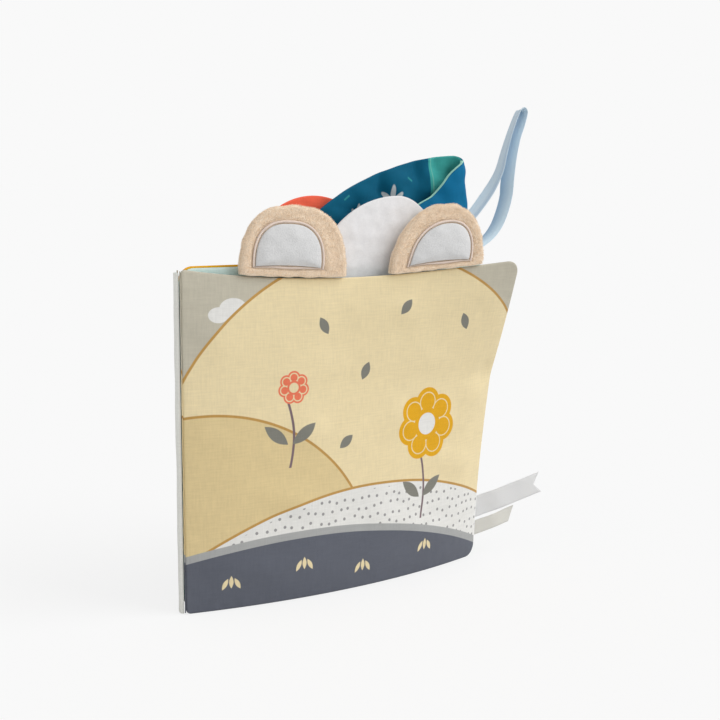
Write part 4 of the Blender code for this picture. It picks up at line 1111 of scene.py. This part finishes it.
def blue_print(ground, with_block):
    """Blue with small sprigs and dashes, a mint block near the curl, and mint at the free corner."""

    def colour_of(paint):
        colour = ground
        dashes = ((30, 34, 0.6), (72, 44, -0.5), (94, 22, 0.9), (46, 15, -0.2), (14, 14, -0.9))
        for u, v, rise in dashes:
            along, across = paint.turned(u, v, math.pi / 2 - rise)
            dash = (abs(along) - DASH_HALF_LENGTH).higher(abs(across) - DASH_HALF_WIDTH)
            colour = paint.mix(paint.inside(dash) * 0.6, colour, MINT_PRINT)
        for u, v, size in ((60, 31, 9), (38, 24, 6), (80, 22, 6)):
            colour = sprig(paint, colour, u, v, size, SPRIG_WHITE)
        if with_block:
            colour = paint.fill(colour, (86 - paint.u).higher(paint.u - 118), MINT_PRINT)
            colour = paint.line(colour, paint.u - 88, 0.4, MINT_COLOUR)
        return paint.fill(colour, paint.disc(117, 0, 17), MINT_HEM)

    return colour_of


s = np.linspace(0, BLUE_LENGTH, 170)[:, None]
share = spread(0, 1, 40)
edge = np.minimum(np.minimum(s, BLUE_LENGTH - s), blue_top(s) * (1 - share))
outer = BLUE_EDGE + (BLUE_FAR - BLUE_EDGE) * rounded(edge / BLUE_ROLLED_EDGE)
# The inner cloth takes the darker blue with painted shade, and the outer cloth the brighter blue with
# painted light.
for label, side, blue in (
    ("inner", -1, blue_print(BLUE_WITH_PAINTED_SHADE, True)),
    ("outer", 1, blue_print(BLUE_WITH_PAINTED_LIGHT, False)),
):
    material = fabric(f"blue_{label}", blue, depth=0.09, roughness=0.7, sheen=0.02, gloss=0.12)
    name, node = f"blue_{label}_cloth", f"blue_flap_{label}_cloth"
    sides = (side * outer, side * BLUE_NEAR)
    made = blue_piece(name, s, share, *sides, material, "blue_cloth", node)

paint = Paint("film", Roughness=0.35, Coat_Weight=0.2)
FILM = paint.finish(FILM_COLOUR, paint.noise(3, 3), 0.3)
s = np.linspace(FILM_INSET, BLUE_LENGTH - FILM_INSET, 110)[:, None]
share = spread(*FILM_SHARES, 22)
sides = (FILM_HALF_THICKNESS, -FILM_HALF_THICKNESS)
blue_piece("crinkle_film", s, share, *sides, FILM, "crinkle_film", "blue_flap_film")

MINT_PIPING = fabric("mint_piping", MINT_HEM)
s = np.linspace(BLUE_STRAIGHT + PIPING_START_SHARE * BLUE_CURL, BLUE_LENGTH, 90)
path = blue_place(s, 1, 0)
side = unit(blue_place(s, 1, 0.001) - path)
path[:, 2] += PIPING_LIFT
up = np.cross(side, unit(np.gradient(path, axis=0)))
shape, flat = tube(path, side * PIPING_HALF_WIDTH, up * PIPING_HALF_HEIGHT, 12, 0.001)
piece("blue_flap_piping", shape, flat, MINT_PIPING, "blue_flap", "mint_cloth")


# Ribbon loop
# A light blue satin ribbon, sewn flat into the back cover's top seam by both ends. Its legs turn
# edge-on above the seam, and its tip is bent over. The points are shares of its lean and height.

RIBBON_WIDTH = 0.0096
RIBBON_HALF_THICKNESS = 0.000288
RIBBON_DISTANCE = 0.182
RIBBON_HEADING = 18.0
RIBBON_TWIST = 0.016
RIBBON_HEIGHT = 0.0886
RIBBON_LEAN = 0.0640
RIBBON_TIP_TURN = 24.0
RIBBON_TURN_START_SHARE = 0.45
RIBBON_CUP = 0.0010
RIBBON_SELVEDGES = 0.00006
RIBBON_PINCH, RIBBON_PINCH_START, RIBBON_PINCH_LENGTH = 0.0017, 0.40, 0.25
RIBBON_EDGE_RATE, RIBBON_EDGE_SHARE = 6, 0.05
RIBBON_BACK = 0.1
RIBBON_LINE = (
    (-0.086, 0), (-0.056, 0.051), (0.037, 0.13), (0.159, 0.212), (0.309, 0.293), (0.441, 0.372),
    (0.545, 0.446), (0.67, 0.564), (0.735, 0.677), (0.79, 0.767), (0.85, 0.852), (0.93, 0.948),
    (0.985, 0.993), (1.04, 1), (1.075, 0.966), (1.03, 0.88), (0.955, 0.784), (0.885, 0.649),
    (0.835, 0.508), (0.80, 0.384), (0.735, 0.277), (0.645, 0.184), (0.51, 0.108), (0.31, 0.045),
    (0.115, 0),
)
RIBBON_STEPS = 260


def smooth_line(points, count):
    """Points on a Catmull-Rom curve through the points given."""
    padded = np.vstack([2 * points[0] - points[1], points, 2 * points[-1] - points[-2]])
    where = np.linspace(0, len(points) - 1, count + 1)
    k = np.minimum(where.astype(int), len(points) - 2)
    t = (where - k)[:, None]
    a, b, c, d = (padded[k + i] for i in range(4))
    curve = 2 * b + (c - a) * t + (2 * a - 5 * b + 4 * c - d) * t**2
    return (curve + (3 * b - a - 3 * c + d) * t**3) / 2


def ribbon_paint():
    """Satin with a few woven lines along it, close to one selvedge. Its inner side lies at its own
    place in the flat map, and has painted shade that darkens it across the ribbon."""
    paint = Paint("ribbon", Roughness=0.5, Sheen_Weight=0.2, Specular_IOR_Level=0.4)
    colour = paint.mix(paint.noise(8, 2, (1, 0.3)), srgb(196, 222, 240), srgb(224, 238, 247))
    inner_side = (paint.u - RIBBON_BACK * MM / 2).clamp()
    # Painted shade on the inner side: light blue at one edge, a darker blue at the other.
    painted_light_share = (0.6 - (paint.u - RIBBON_BACK * MM) / 8).clamp()
    inner_painted_shade = paint.mix(painted_light_share, srgb(140, 182, 216), srgb(218, 236, 247))
    colour = paint.mix(inner_side, colour, inner_painted_shade)
    for place, wide in ((-3.1, 0.22), (-2.3, 0.14), (-1.1, 0.10)):
        line = paint.inside(abs(paint.u - place) - wide, 0.4)
        colour = paint.mix(line * 0.8, colour, srgb(122, 168, 214))
    threads = paint.stripes(paint.v, 0.22)
    height = threads * 0.5 + paint.noise(4, 2)
    return paint.finish(paint.shaded(colour, 0.95 + threads * 0.05), height, 0.1)


def make_ribbon():
    line = np.array(RIBBON_LINE) * (RIBBON_LEAN, RIBBON_HEIGHT)
    line = smooth_line(line, RIBBON_STEPS)
    foot = BACK.above(RIBBON_DISTANCE, 0.0)
    seam = HEADING_TOP + BACK.fan
    run = lengths(line)
    twist = swell(np.minimum(run, run[-1] - run) / RIBBON_TWIST)[:, None]
    height_share = line[:, 1:] / RIBBON_HEIGHT
    turn_share = (height_share - RIBBON_TURN_START_SHARE) / (1 - RIBBON_TURN_START_SHARE)
    edge_on = RIBBON_HEADING + 90 - RIBBON_TIP_TURN * swell(turn_share)
    wide = direction((seam + (edge_on - seam) * twist)[:, 0])
    path = foot + line[:, :1] * (direction(seam) * (1 - twist) + direction(RIBBON_HEADING) * twist)
    path[:, 2] += line[:, 1]
    thick = unit(np.cross(wide, np.gradient(path, axis=0)))[:, None]
    columns = np.linspace(-1, 1, 15)
    cup = RIBBON_CUP * (1 - columns**2) + RIBBON_SELVEDGES * np.cos(columns * math.pi * 4)
    pinched = swell((height_share - RIBBON_PINCH_START) / RIBBON_PINCH_LENGTH)
    pinch = RIBBON_PINCH * pinched * ((1 + columns) / 2) ** 2
    edge = np.maximum((1 - np.abs(columns)) * RIBBON_EDGE_RATE, RIBBON_EDGE_SHARE)
    half = RIBBON_HALF_THICKNESS * rounded(edge)
    across = columns * RIBBON_WIDTH / 2
    middle = path[:, None] + wide[:, None] * across[:, None]
    layers = [middle + thick * (sign * half + cup + pinch)[..., None] for sign in (1, -1)]
    flat = pairs(across, run[:, None])
    flat = np.concatenate([flat + (RIBBON_BACK, 0), flat])
    looks = (ribbon_paint(), "ribbon", "light_blue_satin", "ribbon_loop")
    made = piece("satin_ribbon", shell(*layers), flat, *looks)


make_ribbon()


# Woven tags
# A swallow-tailed satin tag and a small beige one stand out of the front cover's free seam,
# both plain, with a slight curl.

TAG_HEADING = -12.0
TAG_PITCH = math.radians(16)
TAG_THICKNESS = 0.0005
TAG_START = 0.0008
TAG_CURL, TAG_CURL_TURN = 0.0007, 4.2
TAG_WAVE, TAG_WAVE_LENGTH = 0.0002, 0.02
TAG_EDGE, TAG_BEND_START = 0.0006, 0.01
TAG_HEM, TAG_THREAD_PITCH = 0.9, 0.34


def make_tag(name, base, length, height, notch, slant, colour, body, slot, node, shine):
    low, high = FRONT.place(FRONT.width, base), FRONT.place(FRONT.width, base + height)
    seam = unit(high - low)
    out = direction(TAG_HEADING) * math.cos(TAG_PITCH) + math.sin(TAG_PITCH) * UP
    flat_way = unit(np.cross(out, seam))
    rise = np.linspace(0, 1, 17)
    tip = length - slant * rise - notch * (1 - np.abs(2 * rise - 1))
    l = TAG_START + tip * np.linspace(0, 1, 50)[:, None]
    h = height * rise
    curl = TAG_CURL * np.sin(l / length * TAG_CURL_TURN)
    curl = curl + TAG_WAVE * ripple(l, h, TAG_WAVE_LENGTH, 3)
    ends = np.minimum(l - TAG_START, tip - l + TAG_START)
    edge = np.minimum(np.minimum(h, height - h), ends)
    half = TAG_THICKNESS * (0.25 + 0.25 * np.clip(edge / TAG_EDGE, 0, 1))
    middle = low + out * l[..., None] + seam * h[:, None]
    bend = curl * swell(l / TAG_BEND_START)
    layers = [middle + flat_way * (bend + side * half)[..., None] for side in (1, -1)]
    paint = Paint(name, Roughness=shine, Sheen_Weight=0.2)
    threads = paint.weave(TAG_THREAD_PITCH)
    hem = paint.inside(TAG_HEM - paint.v.lower(height * MM - paint.v))
    shade = 0.96 + threads * 0.04 - (1 - hem) * 0.04
    material = paint.finish(paint.shaded(colour, shade), threads + hem * 2, 0.06)
    made = piece(name, shell(*layers), pairs(l, h), material, body, slot, node)


WHITE_TAG = srgb(240, 240, 240)
BEIGE_TAG = srgb(232, 230, 222)
looks = (WHITE_TAG, "swallowtail", "white_satin", "swallowtail_tag", 0.45)
make_tag("plain_swallowtail", 0.0228, 0.0455, 0.0135, 0.0045, 0.0030, *looks)
looks = (BEIGE_TAG, "small_label", "beige_tape", "small_tag", 0.7)
make_tag("plain_small_tag", 0.0118, 0.0235, 0.0090, 0, -0.0030, *looks)


# Stage
# A plain pale floor that runs to the horizon, a soft sun from the right, and an even white sky.

BACKGROUND = 0.947
FLOOR_ALBEDO = 0.70
FLOOR_SEEN_ALBEDO = 0.16
FLOOR_REACH = 60
FLOOR_DROP = 0.0002
SKY_STRENGTH = 0.66
SUN_STRENGTH = 1.75
SUN_SOFTNESS = math.radians(50)
SUN_TURN = math.radians(-38)
SUN_RISE = 0.75
WHITE = (1, 1, 1)

mesh = bpy.data.meshes.new("floor")
corners = [(x * FLOOR_REACH, y * FLOOR_REACH, 0) for x, y in ((-1, -1), (1, -1), (1, 1), (-1, 1))]
mesh.from_pydata(corners, [], [(0, 1, 2, 3)])
floor = add("floor", mesh)
floor.location.z = -FLOOR_DROP
paint = Paint("floor", Roughness=1, Specular_IOR_Level=0, Emission_Color=WHITE)
seen = paint.node("ShaderNodeLightPath", {}, {})
colour = paint.mix(seen, (FLOOR_ALBEDO,) * 3, (FLOOR_SEEN_ALBEDO,) * 3)
paint.feed(paint.shader.inputs["Base Color"], colour)
sunlit = SUN_STRENGTH / math.pi * SUN_RISE / math.hypot(1, SUN_RISE)
glow = seen * (BACKGROUND - FLOOR_SEEN_ALBEDO * (SKY_STRENGTH + sunlit))
paint.feed(paint.shader.inputs["Emission Strength"], glow)
mesh.materials.append(paint.material)

sun = add("sun", bpy.data.lights.new("sun", "SUN"))
sun.data.energy = SUN_STRENGTH
sun.data.angle = SUN_SOFTNESS
toward = Vector((math.cos(SUN_TURN), math.sin(SUN_TURN), SUN_RISE))
sun.rotation_euler = toward.to_track_quat("Z", "Y").to_euler()

world = bpy.data.worlds.new("sky")
world.use_nodes = True
sky = Nodes(world.node_tree)
seen = sky.node("ShaderNodeLightPath", {}, {})
strength = sky.node("ShaderNodeMix", {}, {0: seen, 2: SKY_STRENGTH, 3: BACKGROUND})
background = sky.tree.nodes["Background"]
sky.feed(background.inputs["Strength"], strength)
sky.feed(background.inputs["Color"], WHITE)
bpy.context.scene.world = world
bpy.context.scene.view_settings.view_transform = "Standard"
